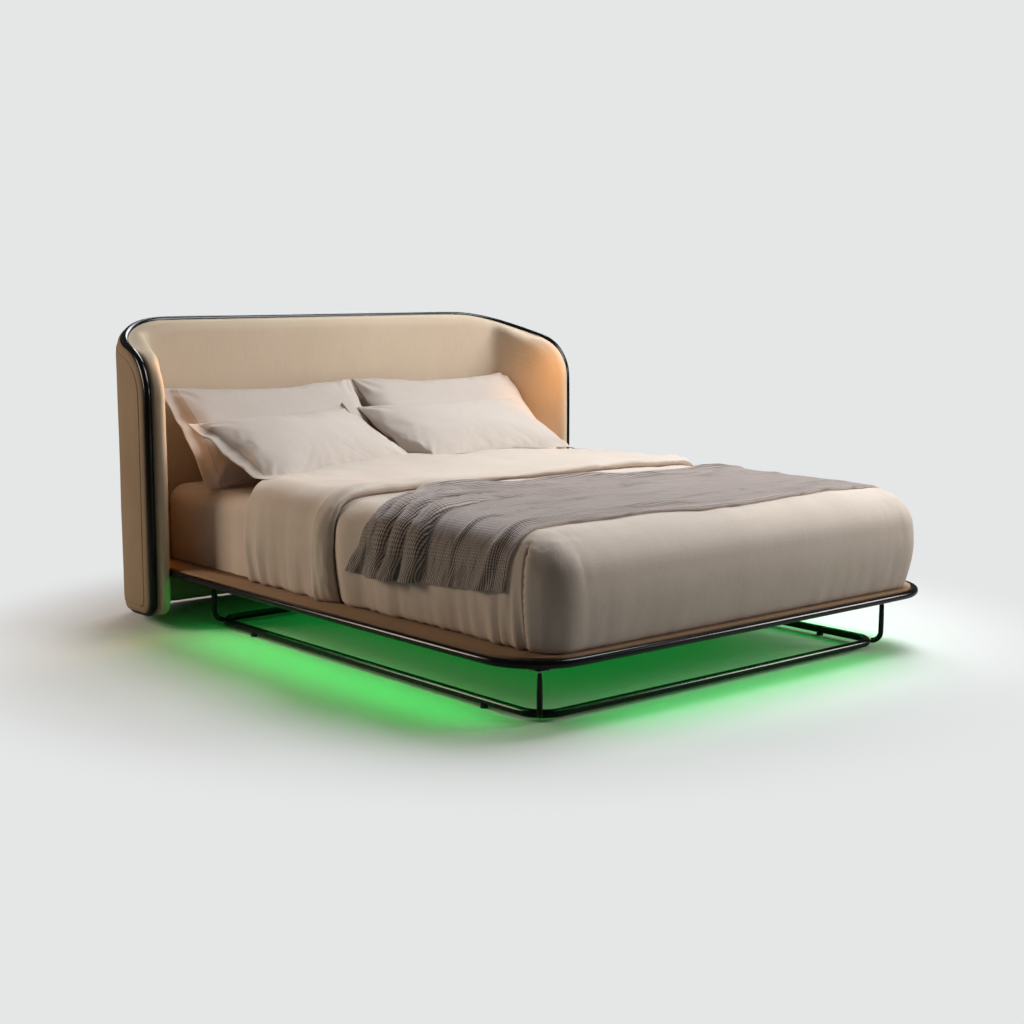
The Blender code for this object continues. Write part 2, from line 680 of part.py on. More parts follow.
def headboard_rows():
    """Where the panels are cut in height."""
    low, high = HEADBOARD_FRONT_BOTTOM, HEADBOARD_FRONT_TOP
    rows = [low, low + HEADBOARD_BOTTOM_RADIUS, high - HEADBOARD_TOP_RADIUS, high]
    rows += [low + HEADBOARD_BOTTOM_RADIUS * (1 - share) for share in EIGHTH_CUT_SHARES]
    rows += [high - HEADBOARD_TOP_RADIUS * (1 - share) for share in QUARTER_CUT_SHARES]
    rows += [(low + high) / 2]
    return sorted(rows)


def cut_box(low, high, cuts_x, cuts_y, cuts_z):
    """A box between two corners, cut across at each of the given places."""
    shape = bmesh.new()
    low, high = Vector(low), Vector(high)
    size = Matrix.Diagonal((*(high - low), 1))
    bmesh.ops.create_cube(shape, size=1, matrix=Matrix.Translation((low + high) / 2) @ size)
    for axis, cuts in enumerate((cuts_x, cuts_y, cuts_z)):
        normal = Vector((0, 0, 0))
        normal[axis] = 1
        for cut in cuts:
            if low[axis] + MERGE_DISTANCE < cut < high[axis] - MERGE_DISTANCE:
                geometry = shape.verts[:] + shape.edges[:] + shape.faces[:]
                place = normal * cut
                bmesh.ops.bisect_plane(
                    shape, geom=geometry, dist=MERGE_DISTANCE, plane_co=place, plane_no=normal
                )
    return shape


def merge_back_rows(shape):
    """Joins the facets of a panel's flat back, which needs cuts along the path alone."""
    back = [face for face in shape.faces if face.calc_center_median().y < MERGE_DISTANCE]
    across = {
        edge
        for face in back
        for edge in face.edges
        if abs(edge.verts[0].co.z - edge.verts[1].co.z) < MERGE_DISTANCE
        and all(linked.calc_center_median().y < MERGE_DISTANCE for linked in edge.link_faces)
    }
    bmesh.ops.dissolve_edges(shape, edges=list(across), use_verts=False)


def wrapped_panel(name, roll_shares, depth_at, growth_at, finish):
    """A headboard layer: a box cut into facets, rounded at its corners and wrapped round the path."""
    half = headboard_half_length()
    shape = cut_box(
        (-half, 0, HEADBOARD_FRONT_BOTTOM),
        (half, 1, HEADBOARD_FRONT_TOP),
        headboard_columns(),
        roll_shares,
        headboard_rows(),
    )
    merge_back_rows(shape)
    for vertex in shape.verts:
        run, share, height = vertex.co
        run, height = round_panel(run, height, lambda facing: growth_at(share, facing))
        vertex.co = wrap(run, height, depth_at(share, run))
    bmesh.ops.recalc_face_normals(shape, faces=shape.faces)
    return add_piece(name, mesh_from(shape, name), finish)


def roll(share):
    """The height of a half-round roll across its width, as a share of its greatest height."""
    return math.sqrt(max(1 - (2 * share - 1) ** 2, 0))


def make_inner_pad():
    """The thick pad inside the U, rolled at its edges, with a groove that takes the platform's edge."""

    def depth(share, run):
        return PAD_BASE + (pad_depth(run) - PAD_BASE) * share

    def growth(share, facing):
        bulge = PAD_TOP_BULGE + (PAD_FRONT_BULGE - PAD_TOP_BULGE) * facing
        return bulge * roll(share)

    pad = wrapped_panel("headboard_inner_pad", PAD_ROLL_SHARES, depth, growth, "camel_velvet")
    edge = PLATFORM_TUBE_RADIUS + SOFT_GAP
    low = PLATFORM_HEIGHT - edge
    high = DECK_TOP + SOFT_GAP
    groove = curve_as_mesh(flat_outline("groove", (platform_outline(edge),), high - low), "platform_groove")
    cut_piece(pad, add_cutter("platform_groove", groove, (0, 0, (low + high) / 2)))
    return pad


def make_outer_shell():
    """The padded shell round the outside."""

    def depth(share, run):
        return -PAD_BASE - SHELL_THICKNESS * share

    def growth(share, facing):
        return -SHELL_EDGE_INSET * (1 - math.sqrt(1 - share**2))

    wrapped_panel("headboard_outer_shell", SHELL_ROLL_SHARES, depth, growth, "camel_velvet")


def make_core():
    """The bent plywood panel inside the tube loop."""

    def depth(share, run):
        return HEADBOARD_TUBE_RADIUS * (2 * share - 1)

    def growth(share, facing):
        return -HEADBOARD_TUBE_RADIUS - CORE_EDGE_GAP

    wrapped_panel("headboard_core", (), depth, growth, "plywood")


def make_headboard_tube():
    """The loop of tube between the layers: along the bottom, up a wing, over the top and down the other."""
    columns, rows = headboard_columns(), headboard_rows()
    outline = [(run, rows[0]) for run in columns]
    outline += [(columns[-1], height) for height in rows[1:]]
    outline += [(run, rows[-1]) for run in reversed(columns[:-1])]
    outline += [(columns[0], height) for height in reversed(rows[1:-1])]
    path = [wrap(*round_panel(run, height, lambda facing: 0), 0) for run, height in outline]
    loop = round_bar("headboard_tube", path, HEADBOARD_TUBE_RADIUS, True)
    add_piece("headboard_tube", loop, "black_steel")


def make_bracket(name, across, pad):
    """An angle bracket from under the head rail, through a slot in the pad, to the core's face."""
    start = HEAD_RAIL_Y - RAIL_WIDTH / 2
    top = RAIL_BOTTOM - GAP
    back = BACK_TUBE_Y - HEADBOARD_TUBE_RADIUS - GAP
    face = back - BRACKET_THICKNESS
    outline = (
        (start, top - BRACKET_THICKNESS),
        (back, top - BRACKET_THICKNESS),
        (back, top - BRACKET_THICKNESS + BRACKET_PLATE_HEIGHT),
        (face, top - BRACKET_THICKNESS + BRACKET_PLATE_HEIGHT),
        (face, top),
        (start, top),
    )
    curve = flat_outline(name, (outline,), BRACKET_WIDTH)
    add_piece(name, curve, "frame_steel", (across, 0, 0), (math.pi / 2, 0, math.pi / 2))
    width = BRACKET_WIDTH + 2 * SOFT_GAP
    low = top - BRACKET_THICKNESS - SOFT_GAP
    pocket_top = top - BRACKET_THICKNESS + BRACKET_PLATE_HEIGHT + SOFT_GAP
    slot_front = PAD_BACK_Y - OVERRUN
    pocket = (width, OVERRUN + back - face + SOFT_GAP, pocket_top - low)
    pocket_middle = (face - SOFT_GAP + back + OVERRUN) / 2
    slot_back = back - GAP
    slot = (width, slot_back - slot_front, BRACKET_THICKNESS + 2 * SOFT_GAP)
    pocket_place = (across, pocket_middle, (low + pocket_top) / 2)
    cut_piece(pad, add_cutter(name + "_pocket", box_mesh(name + "_pocket", pocket), pocket_place))
    slot_place = (across, (slot_front + slot_back) / 2, top - BRACKET_THICKNESS / 2)
    cut_piece(pad, add_cutter(name + "_slot", box_mesh(name + "_slot", slot), slot_place))


def make_headboard():
    """The headboard's four layers and the brackets that hold it to the platform."""
    make_outer_shell()
    make_headboard_tube()
    make_core()
    pad = make_inner_pad()
    for side, side_name in ((-1, "left"), (1, "right")):
        make_bracket("headboard_bracket_" + side_name, side * BRACKET_PLACE_SHARE * RAIL_X, pad)


# Bedding, whose layers all follow the mattress's rounded block


def block_offset(point, radius):
    """The nearest point of the block's core, and the direction out of it, for a point on its sharp box."""
    core = Vector(
        (
            min(max(point.x, radius - HALF_MATTRESS), HALF_MATTRESS - radius),
            min(max(point.y, radius), MATTRESS_LENGTH - radius),
            min(point.z, MATTRESS_TOP - radius),
        )
    )
    return core, (point - core).normalized()


def around_block(point, offset):
    """A point of the mattress's rounded block, moved out by an offset."""
    core, outward = block_offset(point, MATTRESS_EDGE_RADIUS)
    return core + outward * (MATTRESS_EDGE_RADIUS + offset)


def edge_cuts(low, high):
    """Cuts that round the edges at both ends of one side of the block."""
    cuts = [low + MATTRESS_EDGE_RADIUS, high - MATTRESS_EDGE_RADIUS]
    for share in EIGHTH_CUT_SHARES:
        cuts += [low + MATTRESS_EDGE_RADIUS * (1 - share), high - MATTRESS_EDGE_RADIUS * (1 - share)]
    return cuts


def make_mattress():
    """A rounded block on the slats."""
    low = Vector((-HALF_MATTRESS, 0, MATTRESS_BOTTOM))
    high = Vector((HALF_MATTRESS, MATTRESS_LENGTH, MATTRESS_TOP))
    radius = MATTRESS_EDGE_RADIUS
    shape = cut_box(low, high, *(edge_cuts(low[axis], high[axis]) for axis in range(3)))
    for vertex in shape.verts:
        core = Vector(
            min(max(vertex.co[axis], low[axis] + radius), high[axis] - radius) for axis in range(3)
        )
        vertex.co = core + (vertex.co - core).normalized() * radius
    add_piece("mattress", mesh_from(shape, "mattress"), "mattress_ticking")


def shell_over_block(name, low, high, cuts, keep, inner, outer, finish):
    """An open shell round part of the block: its outer and inner faces, joined along the hem."""
    shape = cut_box(low, high, *cuts)
    unwanted = [
        face
        for face in shape.faces
        if face.calc_center_median().z < low[2] + MERGE_DISTANCE or not keep(face.calc_center_median())
    ]
    bmesh.ops.delete(shape, geom=unwanted, context="FACES")
    faces, edges = shape.faces[:], [edge for edge in shape.edges if edge.is_boundary]
    places = {vertex: vertex.co.copy() for vertex in shape.verts}
    copy = bmesh.ops.duplicate(shape, geom=shape.verts[:] + shape.edges[:] + faces)
    twin = copy["vert_map"]
    for vertex, place in places.items():
        twin[vertex].co = inner(place)
        vertex.co = outer(place)
    copied_faces = [face for face in copy["geom"] if isinstance(face, bmesh.types.BMFace)]
    bmesh.ops.reverse_faces(shape, faces=copied_faces)
    for edge in edges:
        first, second = edge.verts
        shape.faces.new((first, second, twin[second], twin[first]))
    bmesh.ops.recalc_face_normals(shape, faces=shape.faces)
    return add_piece(name, mesh_from(shape, name), finish)


def make_sheet():
    """The fitted sheet over the mattress's top and down to the deck."""
    low = (-HALF_MATTRESS, 0, DUVET_HEM)
    high = (HALF_MATTRESS, MATTRESS_LENGTH, MATTRESS_TOP)
    cuts = [edge_cuts(low[axis], high[axis]) for axis in range(2)]
    rounding = MATTRESS_EDGE_RADIUS * (1 - EIGHTH_CUT_SHARES[0])
    cuts.append([high[2] - MATTRESS_EDGE_RADIUS, high[2] - rounding])
    shell_over_block(
        "fitted_sheet",
        low,
        high,
        cuts,
        lambda centre: True,
        lambda place: around_block(place, SOFT_GAP),
        lambda place: around_block(place, SHEET_OUTER),
        "taupe_cotton",
    )


def ease(share):
    """A smooth step from 0 to 1."""
    share = min(max(share, 0), 1)
    return share * share * (3 - 2 * share)


def crown_share(across):
    """1 on the bed's centre line, falling away to 0 at the mattress's sides."""
    return 1 - (across / HALF_MATTRESS) ** 2


def duvet_offset(place, outward):
    """How far the duvet's outer face stands off the block."""
    side_height = MATTRESS_TOP - MATTRESS_EDGE_RADIUS - DUVET_HEM
    climb = min(max((place.z - DUVET_HEM) / side_height, 0), 1)
    foot = min(outward.y, 0) ** 2
    side = DUVET_SIDE_THICKNESS + (DUVET_FOOT_THICKNESS - DUVET_SIDE_THICKNESS) * foot
    bulge = DUVET_SIDE_BULGE + (DUVET_FOOT_BULGE - DUVET_SIDE_BULGE) * foot
    side += bulge * math.sin(math.pi * climb)
    side += 2 * DUVET_CORNER_FULLNESS * abs(outward.x * min(outward.y, 0))
    top = DUVET_TOP_THICKNESS + DUVET_CROWN * crown_share(place.x)
    lift = outward.z**2
    thickness = side * (1 - lift) + top * lift
    thickness += TURNDOWN_THICKNESS * ease((place.y - TURNDOWN_FOOT) / TURNDOWN_STEP)
    to_edge = min(max((DUVET_HEAD_SIDE - place.y) / HEAD_ROLL, 0), 1)
    return HEAD_EDGE_THICKNESS + (thickness - HEAD_EDGE_THICKNESS) * math.sqrt(1 - (1 - to_edge) ** 2)


def bow_head_edge(place):
    """Carries the turned-down part towards the pillows in the middle of the bed."""
    share = ease((place.y - TURNDOWN_FOOT) / TURNDOWN_LENGTH)
    return Vector((0, DUVET_HEAD_BOW * crown_share(place.x) * share, 0))


def duvet_inner(place):
    """A point of the duvet's inner face."""
    return around_block(place, DUVET_INNER) + bow_head_edge(place)


def duvet_outer(place, extra=0):
    """A point of the duvet's outer face, or of a layer on it."""
    core, outward = block_offset(place, MATTRESS_EDGE_RADIUS)
    reach = MATTRESS_EDGE_RADIUS + DUVET_INNER + duvet_offset(place, outward) + extra
    return core + outward * reach + bow_head_edge(place)


def drape_cuts_x():
    """Cuts across the bed that the duvet and the throw share."""
    inner = HALF_MATTRESS - MATTRESS_EDGE_RADIUS
    return edge_cuts(-HALF_MATTRESS, HALF_MATTRESS) + [inner * share for share in DRAPE_ACROSS_SHARES]


def drape_cuts_z():
    """Cuts down the sides that the duvet and the throw share, with the throw's hem among them."""
    top = MATTRESS_TOP - MATTRESS_EDGE_RADIUS
    height = top - DUVET_HEM
    cuts = [DUVET_HEM + height * share for share in DRAPE_DROP_SHARES]
    return cuts + [top, MATTRESS_TOP - MATTRESS_EDGE_RADIUS * (1 - EIGHTH_CUT_SHARES[0])]


def make_duvet():
    """The duvet: over the foot and both sides, with its head end folded back as a thicker band."""
    low = (-HALF_MATTRESS, 0, DUVET_HEM)
    high = (HALF_MATTRESS, MATTRESS_LENGTH, MATTRESS_TOP)
    cuts_y = edge_cuts(0, MATTRESS_LENGTH)
    cuts_y += [TURNDOWN_FOOT * share for share in DUVET_FOOT_SHARES]
    cuts_y += [TURNDOWN_FOOT + TURNDOWN_STEP]
    cuts_y += [TURNDOWN_FOOT + TURNDOWN_LENGTH * share for share in TURNDOWN_SHARES]
    cuts_y += [DUVET_HEAD_SIDE - HEAD_ROLL * share for share in HEAD_ROLL_SHARES]
    shell_over_block(
        "duvet",
        low,
        high,
        (drape_cuts_x(), cuts_y, drape_cuts_z()),
        lambda centre: centre.y < DUVET_HEAD_SIDE,
        duvet_inner,
        duvet_outer,
        "duvet_cotton",
    )


def throw_place(place):
    """Spreads the throw's ends along the bed, as it lies askew."""
    drop = abs(place.x) / HALF_MATTRESS
    share = (place.y - THROW_FOOT) / THROW_WIDTH
    if place.x < 0:
        shift = THROW_LEFT_SPREAD * ease(drop * 2 - 1) * share
    else:
        shift = -THROW_RIGHT_SPREAD * drop * share
    return Vector((place.x, place.y + shift, place.z))


def pleat(place, outward):
    """The folds of the throw's hanging left end, which fade out on top of the bed."""
    if place.x > 0:
        return 0
    share = (place.y - THROW_FOOT) / THROW_WIDTH
    wave = (1 - math.cos(2 * math.pi * PLEAT_COUNT * share)) / 2
    return PLEAT_DEPTH * wave * share * (1 - outward.z**2)


def make_throw():
    """The knitted throw across the foot of the bed, with pleats in its left end."""
    side_height = MATTRESS_TOP - MATTRESS_EDGE_RADIUS - DUVET_HEM
    low = (-HALF_MATTRESS, 0, DUVET_HEM + side_height * THROW_HEM_SHARE)
    high = (HALF_MATTRESS, MATTRESS_LENGTH, MATTRESS_TOP)
    cuts_y = [THROW_FOOT + THROW_WIDTH * step / THROW_CUT_COUNT for step in range(THROW_CUT_COUNT + 1)]

    def inner(place):
        _, outward = block_offset(place, MATTRESS_EDGE_RADIUS)
        return duvet_outer(throw_place(place), DRAPE_GAP + pleat(place, outward))

    def outer(place):
        _, outward = block_offset(place, MATTRESS_EDGE_RADIUS)
        return duvet_outer(throw_place(place), DRAPE_GAP + THROW_THICKNESS + pleat(place, outward))

    shell_over_block(
        "throw",
        low,
        high,
        (drape_cuts_x(), cuts_y, drape_cuts_z()),
        lambda centre: THROW_FOOT < centre.y < THROW_HEAD,
        inner,
        outer,
        "throw_knit",
    )


# Pillows


def hold_back(place, contact, normal):
    """Keeps a point on the side of a plane that its normal shows."""
    below = (place - contact).dot(normal)
    return place - normal * min(below, 0)


def rest_on_duvet(place):
    """Keeps a point above the crown of the turned-down duvet."""
    thickness = DUVET_TOP_THICKNESS + DUVET_CROWN * crown_share(place.x) + TURNDOWN_THICKNESS
    surface = MATTRESS_TOP + DUVET_INNER + thickness + SOFT_GAP
    return Vector((place.x, place.y, max(place.z, surface)))


def softened(shape, name):
    """The mesh of a coarse cage after one round of subdivision."""
    holder = bpy.data.objects.new(name, mesh_from(shape, name + "_cage"))
    CUTTERS.objects.link(holder)
    soften = holder.modifiers.new("soften", "SUBSURF")
    soften.levels = 1
    soften.render_levels = 1
    graph = bpy.context.evaluated_depsgraph_get()
    mesh = bpy.data.meshes.new_from_object(holder.evaluated_get(graph))
    bpy.data.objects.remove(holder, do_unlink=True)
    return mesh


def make_pillow(name, size, centre, turn, settle):
    """A crowned pillow with drawn-in sides, turned to its place and flat where it settles."""
    width, depth, height = size
    shares = [0, *PILLOW_CAGE_SHARES, *(-share for share in PILLOW_CAGE_SHARES)]
    shape = cut_box((-1, -1, -1), (1, 1, 1), shares, shares, [0])
    for vertex in shape.verts:
        across, along, up = vertex.co
        draw_x = 1 - PILLOW_DRAW_SHARE * (1 - along**2)
        draw_y = 1 - PILLOW_DRAW_SHARE * (1 - across**2)
        crown = (1 - across**4) * (1 - along**4)
        rise = (PILLOW_EDGE_HEIGHT + (height - PILLOW_EDGE_HEIGHT) * math.sqrt(crown)) / 2
        local = Vector((across * draw_x * width / 2, along * draw_y * depth / 2, up * rise))
        vertex.co = Vector(centre) + turn @ local
    mesh = softened(shape, name)
    for vertex in mesh.vertices:
        vertex.co = settle(vertex.co.copy())
    add_piece(name, mesh, "pillow_cotton")


def make_pillows():
    """Two pillows that lean on the headboard and two that lie against them, on the duvet's head end."""
    sheet_top = Vector((0, 0, MATTRESS_TOP + SHEET_OUTER + SOFT_GAP))
    headboard = Vector((0, PAD_BACK_Y - SOFT_GAP, 0))
    fold = Vector((0, DUVET_HEAD_MIDDLE + DRAPE_GAP, 0))
    half_depth = REAR_PILLOW_DEPTH / 2
    rear_y = PAD_BACK_Y - REAR_PILLOW_TOP_INSET - half_depth * math.cos(REAR_PILLOW_TILT)
    rear_z = sheet_top.z + half_depth * math.sin(REAR_PILLOW_TILT)
    face = Vector((0, -math.sin(REAR_PILLOW_TILT), math.cos(REAR_PILLOW_TILT)))
    contact = Vector((0, rear_y, rear_z)) + face * (REAR_PILLOW_HEIGHT / 2 * PILLOW_CONTACT_SHARE)

    def settle_rear(place):
        place = hold_back(place, contact, -face)
        place = hold_back(place, fold, Vector((0, 1, 0)))
        place = hold_back(place, headboard, Vector((0, -1, 0)))
        return hold_back(place, sheet_top, Vector((0, 0, 1)))

    def settle_front(place):
        return rest_on_duvet(hold_back(place, contact + face * SOFT_GAP, face))

    front_half = FRONT_PILLOW_DEPTH / 2
    front_y = MATTRESS_LENGTH - FRONT_PILLOW_SETBACK + front_half * math.cos(FRONT_PILLOW_TILT)
    front_z = MATTRESS_TOP + DUVET_TOP_THICKNESS + DUVET_CROWN + front_half * math.sin(FRONT_PILLOW_TILT)
    rear_size = (REAR_PILLOW_WIDTH, REAR_PILLOW_DEPTH, REAR_PILLOW_HEIGHT)
    front_size = (FRONT_PILLOW_WIDTH, FRONT_PILLOW_DEPTH, FRONT_PILLOW_HEIGHT)
    rear_turn = Matrix.Rotation(REAR_PILLOW_TILT, 3, "X")
    front_tilt = Matrix.Rotation(FRONT_PILLOW_TILT, 3, "X")
    for number, side_name in enumerate(("left", "right")):
        rear_centre = (REAR_PILLOW_PLACE_SHARES[number] * HALF_MATTRESS, rear_y, rear_z)
        make_pillow("pillow_rear_" + side_name, rear_size, rear_centre, rear_turn, settle_rear)
        front_centre = (FRONT_PILLOW_PLACE_SHARES[number] * HALF_MATTRESS, front_y, front_z)
        front_turn = Matrix.Rotation(FRONT_PILLOW_TURNS[number], 3, "Z") @ front_tilt
        make_pillow("pillow_front_" + side_name, front_size, front_centre, front_turn, settle_front)


make_base()
make_platform()
make_headboard()
make_mattress()
make_sheet()
make_duvet()
make_throw()
make_pillows()
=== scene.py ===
"""The looks of a double bed: a steel base lit from below, a wrap-around velvet headboard and its bedding.

Every length is in metres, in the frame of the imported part: the origin is on the floor under the bed's middle,
+Y points to the headboard and +Z up. The deck's steel and timber are the part's own nodes with a finish given
here, and the tubes are smoothed copies of theirs. The upholstery and the bedding are new pieces that stand
for the part's soft solids. They follow the same forms, with the folds, seams and creases that cloth has.
"""

import json
import logging
import math
from dataclasses import dataclass, field
from enum import Enum
from typing import Callable, Iterable, Sequence

import bmesh
import bpy
import numpy as np
from mathutils import Matrix, Vector, noise


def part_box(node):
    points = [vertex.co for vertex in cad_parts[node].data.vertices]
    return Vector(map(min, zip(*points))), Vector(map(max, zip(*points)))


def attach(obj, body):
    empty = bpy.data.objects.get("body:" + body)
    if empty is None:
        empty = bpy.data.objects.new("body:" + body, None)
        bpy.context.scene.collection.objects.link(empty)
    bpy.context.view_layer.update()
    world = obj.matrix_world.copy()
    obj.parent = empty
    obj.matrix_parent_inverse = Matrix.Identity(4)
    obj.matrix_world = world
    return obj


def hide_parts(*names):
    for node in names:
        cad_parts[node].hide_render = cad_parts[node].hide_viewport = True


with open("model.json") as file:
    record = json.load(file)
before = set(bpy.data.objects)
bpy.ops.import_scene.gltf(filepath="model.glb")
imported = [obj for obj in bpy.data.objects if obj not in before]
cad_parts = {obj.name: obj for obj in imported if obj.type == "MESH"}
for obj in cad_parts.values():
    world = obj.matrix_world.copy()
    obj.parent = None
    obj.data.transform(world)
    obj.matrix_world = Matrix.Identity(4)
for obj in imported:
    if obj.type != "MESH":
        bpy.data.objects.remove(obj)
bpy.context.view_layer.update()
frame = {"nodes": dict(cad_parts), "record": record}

ROOT = "root"
# The name of the throw's attribute that holds painted shade for the valleys of its pleats
PAINTED_PLEAT_SHADE = "painted_pleat_shade"
LOG = logging.getLogger("bed")

Point = Colour = tuple[float, float, float]
Plane = tuple[Point, Point]

# How far from the headboard's middle the seams of its outside run up
SHELL_SEAMS = (-0.52, 0.52)
# The seam round the duvet's edge: its place on the cloth and how far out it shows
DUVET_SEAM = -1.018
DUVET_SEAM_START = 0.74
# Where the inner line of a pillow case's flange is sewn
FLANGE_SEAM = -0.378
# What brings x (1 - x)^2 to 1 at its peak, which is at a third
SKEWED_PEAK = 27 / 4


# Shader maths


class Signal:
    """A socket's value in a shader, on which Python's operators add the nodes that work it out."""

    def __init__(self, shader: "Shader", socket: bpy.types.NodeSocket) -> None:
        """Wraps a socket.

        Args:
            shader: The material that the socket is in.
            socket: The output that holds the value.
        """
        self.shader = shader
        self.socket = socket

    def _maths(self, operation: str, first: "Signal | float", second: "Signal | float" = 0.0) -> "Signal":
        """Adds one Math node.

        Args:
            operation: The node's operation.
            first: Its first value.
            second: Its second value.

        Returns:
            The node's result.
        """
        return self.shader.node("ShaderNodeMath", {"operation": operation}, {0: first, 1: second})

    def __add__(self, other: "Signal | float") -> "Signal":
        """This value plus another."""
        return self._maths("ADD", self, other)

    __radd__ = __add__

    def __sub__(self, other: "Signal | float") -> "Signal":
        """This value less another."""
        return self._maths("SUBTRACT", self, other)

    def __rsub__(self, other: float) -> "Signal":
        """Another value less this one."""
        return self._maths("SUBTRACT", other, self)

    def __mul__(self, other: "Signal | float") -> "Signal":
        """This value times another."""
        return self._maths("MULTIPLY", self, other)

    __rmul__ = __mul__

    def __abs__(self) -> "Signal":
        """This value without its sign."""
        return self._maths("ABSOLUTE", self)

    def sine(self) -> "Signal":
        """The sine of this value."""
        return self._maths("SINE", self)

    def fraction(self) -> "Signal":
        """What is left of this value after its whole number."""
        return self._maths("FRACT", self)

    def over(self, edge: float) -> "Signal":
        """1 where this value is greater than an edge, or else 0."""
        return self._maths("GREATER_THAN", self, edge)

    def band(self, low: float, high: float) -> "Signal":
        """This value's place between two others, held to 0 and 1."""
        values = {0: self, 1: low, 2: high, 3: 0.0, 4: 1.0}
        return self.shader.node("ShaderNodeMapRange", {"interpolation_type": "SMOOTHSTEP"}, values)

    def wave(self, pitch: float) -> "Signal":
        """A wave from 0 to 1 along this value, by its length in metres."""
        return (self * (2 * math.pi / pitch)).sine() * 0.5 + 0.5


class Shader:
    """A material under construction, with one Principled surface."""

    def __init__(self, name: str) -> None:
        """Starts an empty material.

        Args:
            name: The material's name.
        """
        self.material = bpy.data.materials.new(name)
        self.material.use_nodes = True
        self.tree = self.material.node_tree
        self.tree.nodes.clear()
        self.output = self.tree.nodes.new("ShaderNodeOutputMaterial")
        self.surface = self.tree.nodes.new("ShaderNodeBsdfPrincipled")
        self.tree.links.new(self.surface.outputs[0], self.output.inputs["Surface"])

    def plug(self, socket: bpy.types.NodeSocket, value: object) -> None:
        """Links a socket to a signal, or sets it to a constant.

        Args:
            socket: The input to fill.
            value: A Signal, a number, or a colour of three numbers.
        """
        if isinstance(value, Signal):
            self.tree.links.new(value.socket, socket)
        elif isinstance(value, (tuple, list)) and socket.type == "RGBA":
            socket.default_value = (*value, 1.0)
        else:
            socket.default_value = value

    def node(
        self, kind: str, settings: dict[str, object], values: dict[int | str, object], out: int | str = 0
    ) -> Signal:
        """Adds any node.

        Args:
            kind: The node's type.
            settings: Its own settings, which are set first.
            values: The values or signals of its inputs, by name or number.
            out: Which of its outputs is wanted.

        Returns:
            The wanted output.
        """
        made = self.tree.nodes.new(kind)
        for name, setting in settings.items():
            setattr(made, name, setting)
        for name, value in values.items():
            self.plug(made.inputs[name], value)
        return Signal(self, made.outputs[out])

    def place(self) -> Signal:
        """The point of the surface in the part's frame."""
        return self.node("ShaderNodeTexCoord", {}, {}, "Object")

    def cloth_place(self) -> Signal:
        """The point of the cloth as it was cut, in metres."""
        return self.node("ShaderNodeUVMap", {"uv_map": "cloth"}, {}, "UV")

    def stretched(self, vector: Signal, scale: Sequence[float]) -> Signal:
        """A point with each of its numbers scaled.

        Args:
            vector: The point.
            scale: How many units of pattern there are to the metre, along each axis.

        Returns:
            The scaled point.
        """
        return self.node("ShaderNodeMapping", {}, {"Vector": vector, "Scale": tuple(scale)})

    def parts(self, vector: Signal) -> tuple[Signal, Signal, Signal]:
        """The three numbers of a point."""
        made = self.tree.nodes.new("ShaderNodeSeparateXYZ")
        self.plug(made.inputs[0], vector)
        return tuple(Signal(self, made.outputs[number]) for number in range(3))

    def grain(self, vector: Signal, scale: float, detail: float = 2.0, roughness: float = 0.5) -> Signal:
        """Noise from 0 to 1.

        Args:
            vector: Where it is read.
            scale: How many lumps there are to the metre.
            detail: How many finer layers it has.
            roughness: How strong the finer layers are.

        Returns:
            The noise.
        """
        values = {"Vector": vector, "Scale": scale, "Detail": detail, "Roughness": roughness}
        return self.node("ShaderNodeTexNoise", {}, values)

    def blend(self, share: Signal, first: Colour | Signal, second: Colour | Signal) -> Signal:
        """A colour between two others.

        Args:
            share: 0 for the first and 1 for the second.
            first: The first colour.
            second: The second colour.

        Returns:
            The mixed colour.
        """
        values = {0: share, 6: first, 7: second}
        return self.node("ShaderNodeMix", {"data_type": "RGBA"}, values, 2)

    def relief(self, height: Signal, depth: float, under: Signal | None = None) -> Signal:
        """A bump.

        Args:
            height: The relief, from 0 to 1.
            depth: How deep it is, in metres.
            under: Another bump below it.

        Returns:
            The bent normal.
        """
        values = {"Height": height, "Distance": depth, "Strength": 1.0}
        if under is not None:
            values["Normal"] = under
        return self.node("ShaderNodeBump", {}, values)

    def finish(self, values: dict[str, object]) -> bpy.types.Material:
        """Fills the surface's own sockets.

        Args:
            values: The constants or signals of its sockets.

        Returns:
            The finished material.
        """
        for name, value in values.items():
            self.plug(self.surface.inputs[name], value)
        return self.material


def shade(colour: Colour, share: float) -> Colour:
    """A colour made darker or lighter by a share."""
    return tuple(min(channel * share, 1.0) for channel in colour)


# Finishes


@dataclass(frozen=True)
class Powdercoat:
    """Smooth coloured paint baked on steel tube."""

    name: str
    colour: Colour
    roughness: float
    coat: float

    def make(self) -> bpy.types.Material:
        """Builds the material.

        Returns:
            The material.
        """
        shader = Shader(self.name)
        place = shader.place()
        cloudy = shader.grain(place, 9.0, 3.0)
        scuffs = shader.grain(shader.stretched(place, (160, 160, 40)), 1.0, 4.0, 0.7).band(0.62, 0.8)
        return shader.finish({
            "Base Color": shader.blend(scuffs * 0.35, self.colour, shade(self.colour, 2.6)),
            "Roughness": self.roughness + 0.06 * cloudy + 0.12 * scuffs,
            "Coat Weight": self.coat,
            "Coat Roughness": 0.08,
            "Specular IOR Level": 0.3,
            "Normal": shader.relief(shader.grain(place, 420.0, 2.0), 0.00005),
        })


